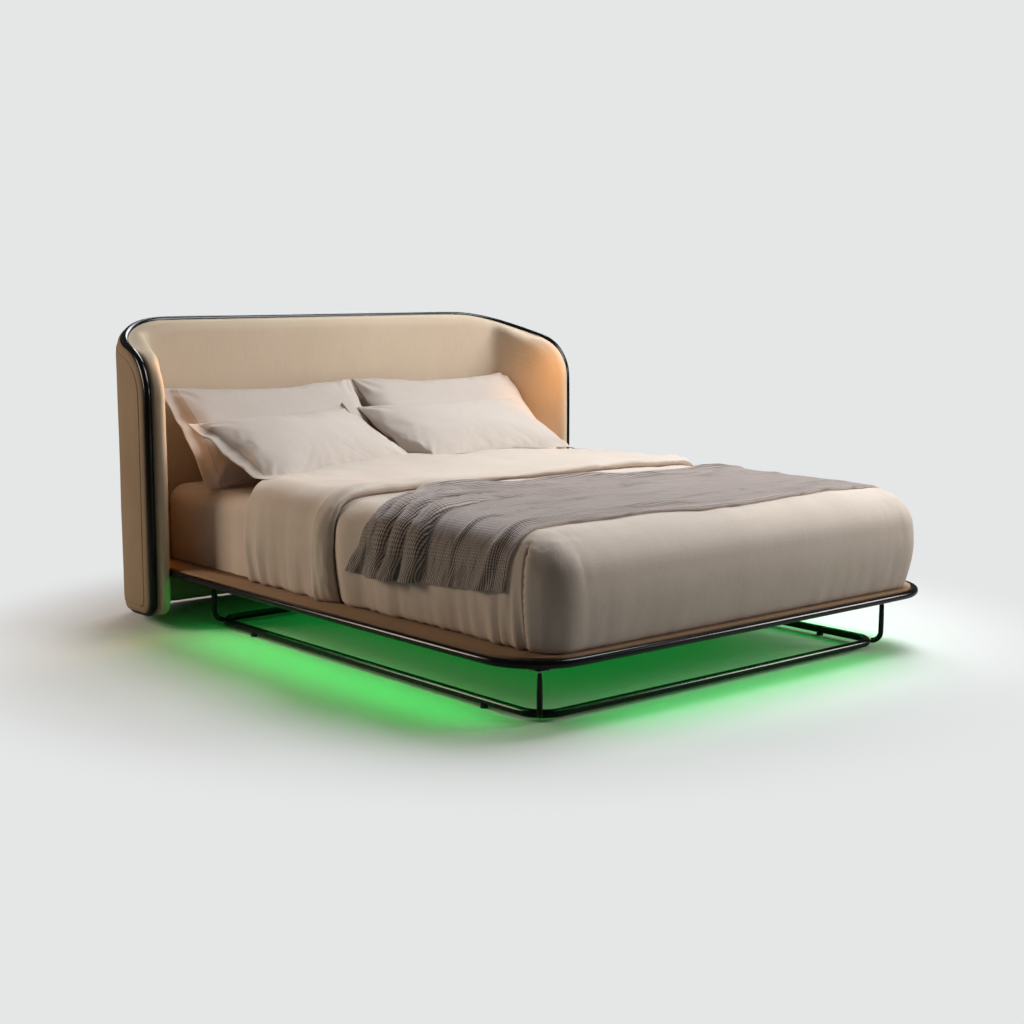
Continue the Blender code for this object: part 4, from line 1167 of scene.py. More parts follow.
@dataclass(frozen=True)
class HeadboardForm:
    """The unrolled headboard and the way it wraps round the bed."""

    tube_radius: float = 0.0125
    base: float = 0.0128
    back_y: float = 1.1271
    wing_x: float = 0.945
    front_y: float = 0.7226
    corner_radius: float = 0.299
    flare: float = math.radians(5.7)
    back_top: float = 1.042
    front_top: float = 0.936
    back_bottom: float = 0.0215
    front_bottom: float = 0.055
    slope_length: float = 0.543
    top_radius: float = 0.144
    bottom_radius: float = 0.05
    pad_back_y: float = 1.0131
    pad_corner_x: float = 0.8
    pad_flare: float = math.radians(14.4)
    crease_radius: float = 0.012
    least_facing: float = 0.05

    @property
    def wing_length(self) -> float:
        """The straight run of the path along one wing."""
        rise = self.back_y - self.corner_radius * (1 - math.sin(self.flare)) - self.front_y
        return rise / math.cos(self.flare)

    @property
    def arc_start(self) -> float:
        """How far from the centre line the path's corner begins."""
        wing = self.wing_length * math.sin(self.flare)
        return self.wing_x - self.corner_radius * math.cos(self.flare) - wing

    @property
    def arc_length(self) -> float:
        """The length of one of the path's corners."""
        return self.corner_radius * (math.pi / 2 - self.flare)

    @property
    def half_length(self) -> float:
        """Half of the path, from the centre line to a wing's front."""
        return self.arc_start + self.arc_length + self.wing_length

    def plan(self, run: np.ndarray) -> tuple[np.ndarray, np.ndarray]:
        """The path's points in plan and their inward normals.

        Args:
            run: Distances along the path from the centre line.

        Returns:
            The points and the normals, one to a row.
        """
        side, distance = np.sign(run), np.abs(run)
        turn = np.clip(distance - self.arc_start, 0, self.arc_length) / self.corner_radius
        straight = np.maximum(distance - self.arc_start - self.arc_length, 0)
        across = np.minimum(distance, self.arc_start) + self.corner_radius * np.sin(turn)
        across = across + straight * np.cos(turn)
        along = self.back_y - self.corner_radius * (1 - np.cos(turn)) - straight * np.sin(turn)
        places = np.stack((side * across, along), axis=1)
        return places, np.stack((-side * np.sin(turn), -np.cos(turn)), axis=1)

    def wrap(self, run: np.ndarray, height: np.ndarray, depth: np.ndarray) -> np.ndarray:
        """Points of the unrolled headboard in the bed.

        Args:
            run: Distances along the path.
            height: Heights at the wing's front.
            depth: Distances in from the path.

        Returns:
            The points, one to a row.
        """
        places, inward = self.plan(run)
        behind = np.clip((self.half_length - np.abs(run)) / self.slope_length, 0, 1)
        rising = (1 - np.cos(math.pi * behind)) / 2
        rise = (self.back_top - self.front_top) * rising
        drop = (self.front_bottom - self.back_bottom) * rising
        share = (height - self.front_bottom) / (self.front_top - self.front_bottom)
        places = places + inward * depth[:, None]
        return np.column_stack((places, height + rise * share - drop * (1 - share)))

    def pad_depth(self, run: np.ndarray) -> np.ndarray:
        """How deep the inner pad reaches in from the path, with a soft crease where its two faces meet.

        Args:
            run: Distances along the path.

        Returns:
            The depths.
        """
        places, inward = self.plan(np.abs(run))
        inner_corner = np.array((self.pad_corner_x, self.pad_back_y))
        depths = []
        for face in ((0.0, 1.0), (math.cos(self.pad_flare), math.sin(self.pad_flare))):
            facing = np.maximum(-(inward @ np.array(face)), self.least_facing)
            depths.append((places - inner_corner) @ np.array(face) / facing)
        back, wing = depths
        give = self.crease_radius
        return give * np.logaddexp(back / give, wing / give)

    def corner_place(self, run: np.ndarray, height: np.ndarray) -> tuple[np.ndarray, ...]:
        """Where points lie from the panel's rounded outline.

        Args:
            run: Distances along the path, of a panel with square corners.
            height: Heights of the same points.

        Returns:
            The core points' run and height, the unit vectors out of them, the corner's radius and the
            distance in from the outline.
        """
        upper = height > (self.front_top + self.front_bottom) / 2
        radius = np.where(upper, self.top_radius, self.bottom_radius)
        core_run = np.clip(run, radius - self.half_length, self.half_length - radius)
        core_height = np.clip(height, self.front_bottom + radius, self.front_top - radius)
        offset = np.stack((run - core_run, height - core_height), axis=1)
        return core_run, core_height, directions(offset), radius, radius - np.abs(offset).max(axis=1)


@dataclass
class Headboard:
    """The upholstered U round the head of the bed."""

    form: HeadboardForm = field(default_factory=HeadboardForm)
    cell: float = 0.0095
    edge_rounding: float = 0.034
    front_bulge: float = 0.03
    top_bulge: float = -0.003
    edge_cloth: float = 0.1
    shell_thickness: float = 0.015
    shell_rounding: float = 0.026
    seam_height: float = 0.0018
    groove_low: float = 0.178
    groove_high: float = 0.2105
    platform_half_width: float = 0.883
    platform_head: float = 0.9996
    platform_corner: float = 0.194
    platform_gap: float = 0.0015
    groove_step: float = 0.002
    groove_steps: int = 90

    def build(self) -> None:
        """Builds the tube, the pad and the shell."""
        SteelTube("headboard_tube", self.form.tube_radius).build()
        self._build_pad()
        self._build_shell()

    def _panel(self, name: str, layers: int) -> tuple[bpy.types.Object, np.ndarray, np.ndarray, np.ndarray]:
        """A boxed panel before it is wrapped.

        Args:
            name: The piece's name.
            layers: How many cells it has in its thickness.

        Returns:
            The piece, and each vertex's run, share of the thickness and height.
        """
        form = self.form
        length, height = 2 * form.half_length, form.front_top - form.front_bottom
        piece = grid_box(name, (round(length / self.cell), layers, round(height / self.cell)))
        unit = read_points(piece)
        run = (unit[:, 0] - 0.5) * length
        rise = form.front_bottom + unit[:, 2] * height

        def cut(points: np.ndarray, normals: np.ndarray) -> np.ndarray:
            """Where points of the box lie on flat cloth.

            Args:
                points: The points.
                normals: The normals of their faces.

            Returns:
                Each point's place on the cloth.
            """
            edge = np.abs(normals[:, 1]) < 0.5
            places = np.stack(((points[:, 0] - 0.5) * length, points[:, 2] * height), axis=1)
            places[:, 1] += np.where(edge & (np.abs(normals[:, 2]) > 0.5), points[:, 1] * self.edge_cloth, 0)
            places[:, 0] += np.where(edge & (np.abs(normals[:, 0]) > 0.5), points[:, 1] * self.edge_cloth, 0)
            return places

        lay_cloth_map(piece, cut)
        return piece, run, unit[:, 1], rise

    def _build_pad(self) -> None:
        """Builds the thick pad inside the U."""
        form = self.form
        piece, run, share, height = self._panel("headboard_pad_cover", 10)
        core_run, core_height, outward, radius, inset = form.corner_place(run, height)
        thickness = form.pad_depth(run) - form.base
        rounding = self.edge_rounding
        reach = share * thickness
        core_inset = np.maximum(inset, rounding)
        core_reach = np.minimum(reach, thickness - rounding)
        away_inset, away_reach = inset - core_inset, reach - core_reach
        length = np.maximum(np.hypot(away_inset, away_reach), 1e-9)
        in_edge = (inset < rounding) & (reach > thickness - rounding)
        new_inset = np.where(in_edge, core_inset + away_inset / length * rounding, inset)
        new_reach = np.where(in_edge, core_reach + away_reach / length * rounding, reach)
        facing = np.where(inset < rounding, -away_inset / np.where(in_edge, length, rounding), 0)
        level = np.clip(new_reach / thickness, 0, 1)
        roll = np.sqrt(np.maximum(1 - (2 * level - 1) ** 2, 0))
        bulge = self.top_bulge + (self.front_bulge - self.top_bulge) * np.abs(outward[:, 0])
        ring = radius - new_inset + bulge * roll * np.clip(facing, 0, 1)
        ring = np.where(inset < radius, ring, 0)
        wrinkles = self._pad_wrinkles(inset, run, height) * ease(new_reach / 0.02)
        new_run = core_run + outward[:, 0] * ring
        new_height = core_height + outward[:, 1] * ring
        depth = form.base + new_reach + wrinkles
        write_points(piece, self._clear_platform(new_run, new_height, depth))
        face_outwards(piece)
        hand_over(piece, Finish.CAMEL_VELVET, ["headboard_inner_pad"])

    def _pad_wrinkles(self, inset: np.ndarray, run: np.ndarray, height: np.ndarray) -> np.ndarray:
        """How far the pad's cover stands in or out.

        Args:
            inset: Distances in from the panel's outline.
            run: Distances along the path.
            height: Heights.

        Returns:
            The depths of the wrinkles.
        """
        flat = np.column_stack((run, height, run * 0))
        soft = 0.0022 * lumps(flat, 3.2, 1.0)
        pulled = 0.0011 * lumps(flat, (26, 7, 1), 2.0) * hump(inset - 0.03, 0.05)
        corner = hump(np.abs(run) - (self.form.half_length - 0.13), 0.09) * hump(height - 0.86, 0.09)
        gathers = 0.0016 * corner * np.sin((np.abs(run) + height) * 260 + 3 * lumps(flat, 9, 3.0, 2))
        crease_run = self.form.arc_start + self.form.arc_length * 0.5
        drawn = 0.002 * hump(np.abs(run) - crease_run, 0.045) * lumps(flat, (4, 14, 1), 4.0)
        return soft + pulled + gathers + drawn

    def _clear_platform(self, run: np.ndarray, height: np.ndarray, depth: np.ndarray) -> np.ndarray:
        """Wraps the pad, with a groove pressed into it where the platform's edge nests.

        Args:
            run: The pad's distances along the path.
            height: Its heights.
            depth: Its depths.

        Returns:
            Its points in the bed.
        """
        form = self.form
        places = form.wrap(run, height, depth)
        reach = self.platform_corner + form.tube_radius + self.platform_gap
        inside = (places[:, 2] > self.groove_low) & (places[:, 2] < self.groove_high)
        for _ in range(self.groove_steps):
            across = np.abs(places[:, 0])
            core_x = np.minimum(across, self.platform_half_width - self.platform_corner)
            core_y = np.minimum(places[:, 1], self.platform_head - self.platform_corner)
            away = np.hypot(across - core_x, places[:, 1] - core_y)
            hit = inside & (away < reach) & (depth > form.base)
            if not hit.any():
                break
            depth = np.where(hit, depth - self.groove_step, depth)
            places = np.where(hit[:, None], form.wrap(run, height, depth), places)
        return places

    def _build_shell(self) -> None:
        """Builds the padded cover round the outside."""
        form = self.form
        piece, run, share, height = self._panel("headboard_shell_cover", 5)
        core_run, core_height, outward, radius, inset = form.corner_place(run, height)
        level = np.sin(share * math.pi / 2)
        drawn_in = self.shell_rounding * (1 - quarter_round(1 - level))
        ring = np.where(inset < radius, radius - np.maximum(inset, drawn_in), 0)
        flat = np.column_stack((run, height, share * 0))
        padded = 0.0018 * lumps(flat, 3.0, 5.0) + 0.0007 * lumps(flat, (20, 6, 1), 6.0) * hump(inset, 0.05)
        seams = sum(self.seam_height * hump(run - place, 0.006) for place in SHELL_SEAMS)
        rolled = 0.004 * ease(1 - inset / 0.05) * level
        depth = -form.base - self.shell_thickness * level + rolled
        depth = depth + np.where(share > 0.9, padded + seams, 0)
        new_run = core_run + outward[:, 0] * ring
        new_height = core_height + outward[:, 1] * ring
        write_points(piece, form.wrap(new_run, new_height, depth))
        face_outwards(piece)
        # The outside's cover takes the copy of the velvet that is darkened with painted shade
        hand_over(piece, Finish.SHELL_VELVET, ["headboard_outer_shell"])


# The bedding


@dataclass(frozen=True)
class Block:
    """The mattress's rounded block, on which every cloth is laid."""

    half_width: float = 0.76
    foot: float = -1.0619
    head: float = 0.9681
    hem: float = 0.2093
    top: float = 0.4691
    rounding: float = 0.06

    def spread(self, places: np.ndarray) -> tuple[np.ndarray, np.ndarray]:
        """The nearest points of the block's core, and the directions out of it.

        Args:
            places: Points on the block's sharp box, one to a row.

        Returns:
            The core points and the unit vectors.
        """
        low = np.array((-self.half_width, self.foot, -np.inf)) + self.rounding
        high = np.array((self.half_width, self.head, self.top)) - self.rounding
        core = np.clip(places, low, high)
        return core, directions(places - core)

    def cut(self, places: np.ndarray, normals: np.ndarray) -> np.ndarray:
        """Where points of the sharp box lie on flat cloth.

        Args:
            places: The points.
            normals: The normals of their faces.

        Returns:
            Each point's place on the cloth.
        """
        drop = self.top - places[:, 2]
        side = np.abs(normals[:, 0]) > 0.5
        end = np.abs(normals[:, 1]) > 0.5
        across = places[:, 0] + np.where(side, np.sign(normals[:, 0]) * drop, 0)
        along = places[:, 1] + np.where(end, np.sign(normals[:, 1]) * drop, 0)
        return np.stack((across, along), axis=1)


@dataclass(frozen=True)
class DuvetForm:
    """How far the duvet stands off the block."""

    block: Block = field(default_factory=Block)
    inner: float = 0.0025
    side: float = 0.022
    side_bulge: float = 0.018
    foot: float = 0.0575
    foot_bulge: float = 0.03
    corner_square: float = 0.06
    seam_turn: float = math.radians(15)
    shoulder_square: float = 0.3
    shoulder_power: float = 4.0
    bulge_share: float = 0.66
    top: float = 0.054
    crown: float = 0.01
    head_side: float = 0.3581
    head_bow: float = 0.21
    fold_length: float = 0.5
    fold: float = 0.012
    head_roll: float = 0.03
    head_edge: float = 0.008

    @property
    def fold_foot(self) -> float:
        """Where the turned-down part ends, towards the foot."""
        return self.head_side - self.fold_length

    def offset(self, places: np.ndarray, outward: np.ndarray, extra: np.ndarray | float = 0.0) -> np.ndarray:
        """How far the duvet's outer face stands off the block, without its fold.

        Args:
            places: Points of the block's sharp box.
            outward: The directions out of its core.
            extra: What is laid on it.

        Returns:
            One distance a point.
        """
        block = self.block
        climb = np.clip((places[:, 2] - block.hem) / (block.top - block.rounding - block.hem), 0, 1)
        level = np.maximum(np.hypot(outward[:, 0], outward[:, 1]), 1e-6)
        at_foot = np.minimum(outward[:, 1], 0) ** 2
        side = self.side + (self.foot - self.side) * at_foot
        bulge = self.side_bulge + (self.foot_bulge - self.side_bulge) * at_foot
        side = side + bulge * np.sin(math.pi * self.bulge_share * climb)
        side = side + (block.rounding + side) * self._corner(outward, level, climb)
        top = self.top + self.crown * (1 - (places[:, 0] / block.half_width) ** 2)
        lift = outward[:, 2] ** 2
        thickness = side * (1 - lift) + top * lift + extra
        squared = self._shoulder(outward, level) * (0.3 + 0.7 * np.clip(at_foot / level**2, 0, 1))
        thickness = thickness + (block.rounding + thickness) * squared
        rolled = quarter_round((self.head_side - places[:, 1]) / self.head_roll)
        return self.head_edge + (thickness - self.head_edge) * rolled

    def _corner(self, outward: np.ndarray, level: np.ndarray, climb: np.ndarray) -> np.ndarray:
        """How much fuller the duvet is round its foot corners, which are squarest where its seam runs down.

        Args:
            outward: The directions out of the block's core.
            level: Their lengths in plan.
            climb: Shares of the way up the side.

        Returns:
            A share of the corner's radius for each point.
        """
        turned = np.arcsin(np.clip(np.maximum(-outward[:, 1], 0) / level, 0, 1))
        past = np.clip((turned - self.seam_turn) / (math.pi / 2 - self.seam_turn), 0, 1)
        fading = (1 - past) ** 2
        flat = (1 / np.cos(np.minimum(turned, self.seam_turn)) - 1) * fading
        full = (math.sqrt(2) - 1) * SKEWED_PEAK * past * fading
        return (flat + full * self.corner_square) * (0.45 + 0.55 * ease(climb * 1.4))

    def _shoulder(self, outward: np.ndarray, level: np.ndarray) -> np.ndarray:
        """How much squarer the duvet's upper edge is than the block's.

        Args:
            outward: The directions out of the block's core.
            level: Their lengths in plan.

        Returns:
            A share of the edge's radius for each point.
        """
        power = self.shoulder_power
        rise = (level**power + np.maximum(outward[:, 2], 0) ** power) ** (1 / power)
        rounded = (outward[:, 2] > 0.01) & (level > 0.01)
        return np.where(rounded, 1 / np.maximum(rise, 0.5) - 1, 0) * self.shoulder_square

    def bow(self, places: np.ndarray) -> np.ndarray:
        """How far the turned-down part is carried towards the pillows.

        Args:
            places: Points of the block's sharp box.

        Returns:
            One vector a point.
        """
        share = ease((places[:, 1] - self.fold_foot) / self.fold_length)
        crown = 1 - np.minimum(np.abs(places[:, 0] / self.block.half_width), 1) ** 2
        return np.outer(self.head_bow * crown * share, (0, 1, 0))

    def surface(self, places: np.ndarray, distance: np.ndarray | float) -> np.ndarray:
        """Points at a distance off the block.

        Args:
            places: Points of the block's sharp box.
            distance: How far off they lie.

        Returns:
            The points.
        """
        core, outward = self.block.spread(places)
        reach = self.block.rounding + np.asarray(distance)
        return core + outward * np.broadcast_to(reach, len(places))[:, None] + self.bow(places)


def give_wall(piece: bpy.types.Object, inner: np.ndarray) -> None:
    """Closes an open cloth with a second face and a wall round its border.

    Args:
        piece: The cloth, whose vertices are its outer face.
        inner: The places of its inner face's vertices, in the same order.
    """
    outer = read_points(piece)
    wall = piece.modifiers.new("wall", "SOLIDIFY")
    wall.thickness = 0.001
    wall.offset = -1
    apply_all(piece)
    write_points(piece, np.vstack((outer, inner)))


@dataclass
class Bedding:
    """The mattress, its fitted sheet, the duvet with its turned-down end, and the knitted throw."""

    form: DuvetForm = field(default_factory=DuvetForm)
    cell: float = 0.0088
    side_height: float = 0.2
    corner_reach: float = 0.13
    sheet_cell: float = 0.013
    mattress_cell: float = 0.03
    sheet_thickness: float = 0.0015
    sheet_gap: float = 0.0005
    ticking_gap: float = 0.0006
    hem_height: float = 0.02
    duvet_end: float = 0.012
    fold_overhang: float = 0.016
    fold_gap: float = 0.0006
    fold_least: float = 0.002
    fold_sway: float = 0.12
    duvet_hem: float = 0.012
    fold_hem: float = 0.01
    duvet_crowding: Point = (0.72, 0.66, 0.3)
    fold_crowding: Point = (0.6, 0.88, 0.3)
    sheet_shown_from: float = 0.3
    sheet_shown_run: float = 0.15

    def build(self) -> None:
        """Builds every cloth, from the mattress up."""
        self._build_mattress()
        self._build_sheet()
        self._build_duvet()
        self._build_fold()
        Throw(self.form, self._duvet_creases).build()

    def _block_grid(
        self,
        name: str,
        foot: float,
        head: float,
        cell: float,
        dropped: str = "",
        crowding: Point = (0.0, 0.0, 0.0),
    ) -> tuple[bpy.types.Object, np.ndarray]:
        """A grid on the block's sharp box, or on a length of it.

        Args:
            name: The piece's name.
            foot: Where its foot end is.
            head: Where its head end is.
            cell: The size of a cell.
            dropped: The sides that are left out.
            crowding: How much the cells crowd towards both ends of each axis, from 0 to 1.

        Returns:
            The piece and its vertices' places.
        """
        block = self.form.block
        low = np.array((-block.half_width, foot, block.hem))
        high = np.array((block.half_width, head, block.top))
        counts = tuple(int(max(round(size / cell), 1)) for size in high - low)
        piece = grid_box(name, counts, dropped)
        unit = read_points(piece)
        unit = unit - np.array(crowding) * np.sin(2 * math.pi * unit) / (2 * math.pi)
        places = low + unit * (high - low)
        write_points(piece, places)
        lay_cloth_map(piece, block.cut)
        return piece, places

    def _hem(self, places: np.ndarray, depth: float) -> np.ndarray:
        """How far a cover draws in at its lower edge, at most by a depth."""
        return -depth * (1 - quarter_round((places[:, 2] - self.form.block.hem) / self.hem_height))

    def _build_mattress(self) -> None:
        """Builds the mattress."""
        block = self.form.block
        piece, places = self._block_grid("mattress_core", block.foot, block.head, self.mattress_cell)
        core = np.clip(places, places.min(axis=0) + block.rounding, places.max(axis=0) - block.rounding)
        write_points(piece, core + directions(places - core) * (block.rounding - self.ticking_gap))
        hand_over(piece, Finish.TICKING, ["mattress"])

    def _build_sheet(self) -> None:
        """Builds the fitted sheet, with its folds where it shows."""
        block = self.form.block
        piece, places = self._block_grid("fitted_sheet_cloth", block.foot, block.head, self.sheet_cell, "z-")
        core, outward = block.spread(places)
        climb = np.clip((places[:, 2] - block.hem) / self.side_height, 0, 1)
        shown = ease((places[:, 1] - self.sheet_shown_from) / self.sheet_shown_run)
        folds = lumps(places, (1, 13, 2.2), 7.0) * 0.005 + 0.0022 * lumps(places, (1, 34, 4), 8.0)
        folds = (folds + 0.0022) * outward[:, 0] ** 2 * (0.35 + 0.65 * (1 - climb)) * shown
        top = 0.0014 * (lumps(places, 7, 9.0) + 0.6) * outward[:, 2] ** 2 * shown
        inner = core + outward * (block.rounding + self.sheet_gap + np.maximum(folds + top, 0))[:, None]
        write_points(piece, inner + outward * self.sheet_thickness)
        give_wall(piece, inner)
        hand_over(piece, Finish.SHEET, ["fitted_sheet"])

    def _duvet_creases(self, places: np.ndarray, outward: np.ndarray) -> np.ndarray:
        """How far the duvet's cover stands in or out.

        Args:
            places: Points of the block's sharp box.
            outward: The directions out of its core.

        Returns:
            One distance a point.
        """
        form, block = self.form, self.form.block
        side, end, lift = (outward**2).T
        hem = (1 - np.clip((places[:, 2] - block.hem) / self.side_height, 0, 1)) ** 1.2
        turned = np.arctan2(-np.minimum(outward[:, 1], 0), np.abs(outward[:, 0])) - form.seam_turn
        beside = side * (1 - ease((turned + 0.05) / 0.1))
        puff = 0.0045 * lumps(places, 3.4, 11.0) + 0.0022 * lumps(places, 9, 12.0)
        ripples = beside * (0.012 * hem + 0.0026) * lumps(places, (1, 30, 1.8), 13.0)
        ripples = ripples + beside * (0.004 * hem + 0.0006) * lumps(places, (1, 64, 2.4), 18.0, 2)
        ripples = ripples + end * (0.003 * hem + 0.0002) * lumps(places, (20, 1, 2.5), 14.0)
        before = form.fold_foot - places[:, 1]
        pulled = 0.011 * hump(before - 0.07, 0.045) - 0.009 * hump(before, 0.016)
        pulled = pulled * ease(1 - lift * 1.2) - 0.003 * hump(before, 0.012)
        sewn = self._foot_seam(places, outward, turned) + self._gathers(places)
        return puff * (0.35 * (1 - 0.75 * end) + 0.65 * lift) + ripples + sewn + pulled

    def _foot_seam(self, places: np.ndarray, outward: np.ndarray, turned: np.ndarray) -> np.ndarray:
        """The seam that runs down each foot corner: its groove, its puckers and the swell beside it.

        Args:
            places: Points of the block's sharp box.
            outward: The directions out of its core.
            turned: How far past the seam they have turned.

        Returns:
            One distance a point.
        """
        away = turned * self.corner_reach
        level = np.maximum(np.hypot(outward[:, 0], outward[:, 1]), 1e-6)
        upright = ease((level - 0.35) / 0.4) * (outward[:, 1] < -1e-6)
        waves = np.sin(places[:, 2] * 260 + 5 * lumps(places, 12, 15.0, 2))
        groove = -0.011 * hump(away - 0.002, 0.006)
        puckers = 0.0028 * waves * hump(away - 0.012, 0.014)
        swell = 0.004 * hump(away - 0.024, 0.02)
        return (groove + puckers + swell) * upright

    def _gathers(self, places: np.ndarray) -> np.ndarray:
        """The small gathers on top of each foot corner.

        Args:
            places: Points of the block's sharp box.

        Returns:
            One distance a point.
        """
        block = self.form.block
        shoulder = hump(np.abs(places[:, 0]) - 0.71, 0.1) * hump(places[:, 1] - block.foot - 0.04, 0.1)
        high = ease((places[:, 2] - block.top + 0.1) / 0.07)
        return 0.0025 * shoulder * high * lumps(places, (40, 40, 12), 16.0, 2)

    def _build_duvet(self) -> None:
        """Builds the duvet, up to its fold's head end."""
        form = self.form
        head = form.head_side - self.duvet_end
        piece, places = self._block_grid(
            "duvet_cover", form.block.foot, head, self.cell, "z- y+", self.duvet_crowding
        )
        _, outward = form.block.spread(places)
        offset = form.offset(places, outward) + self._duvet_creases(places, outward)
        offset = offset + self._hem(places, self.duvet_hem)
        write_points(piece, form.surface(places, form.inner + offset))
        give_wall(piece, form.surface(places, form.inner))
        hand_over(piece, Finish.DUVET, ["duvet"])

    def _fold_outer(self, places: np.ndarray, outward: np.ndarray) -> np.ndarray:
        """How far the turned-down part's outer face stands off the block.

        Args:
            places: Points of the block's sharp box.
            outward: The directions out of its core.

        Returns:
            One distance a point.
        """
        form = self.form
        from_foot = places[:, 1] - form.fold_foot
        roll = quarter_round(0.3 + from_foot / 0.009)
        shoulder = hump(np.abs(places[:, 0]) - 0.74, 0.09)
        crumple = (0.0034 + 0.004 * shoulder) * lumps(places, (9, 52, 9), 21.0) * hump(from_foot - 0.02, 0.05)
        off_top = ease(1 - 1.2 * outward[:, 2] ** 2)
        swell = (0.007 + 0.008 * off_top) * hump(from_foot - 0.04, 0.035)
        uneven = 0.005 * (lumps(places, 4.2, 22.0) + 0.3)
        extra = 0.004 + (form.fold + 0.002 + swell + uneven) * roll + crumple
        return form.offset(places, outward, extra) + self._duvet_creases(places, outward)

    def _build_fold(self) -> None:
        """Builds the turned-down head end, which lies on the duvet and rolls over at the pillows."""
        form = self.form
        piece, places = self._block_grid(
            "duvet_turned_down", form.fold_foot, form.head_side, self.cell, "z- y+ y-", self.fold_crowding
        )
        _, outward = form.block.spread(places)
        near_foot = ease(1 - (places[:, 1] - form.fold_foot) / self.fold_sway)
        girth = np.column_stack((places[:, 0], places[:, 2], places[:, 2] * 0))
        sway = 0.0075 * lumps(girth, 3.6, 23.0, 2) + 0.0022 * lumps(girth, 17, 24.0, 2)
        swayed = places + np.outer(sway * near_foot, (0, 1, 0))
        over = self.fold_overhang * hump(places[:, 1] - form.fold_foot - 0.006, 0.02)
        under = form.offset(places, outward) + self._duvet_creases(places, outward) + self.fold_gap
        under = under * np.clip((form.head_side - places[:, 1] - 0.004) / self.duvet_end, 0, 1)
        outer = self._fold_outer(places, outward) + self._hem(places, self.fold_hem)
        outer = form.inner + np.maximum(outer, under + self.fold_least)
        write_points(piece, form.surface(swayed - np.outer(over, (0, 1, 0)), outer))
        give_wall(piece, form.surface(swayed, form.inner + under))
        hand_over(piece, Finish.DUVET, ["duvet"])


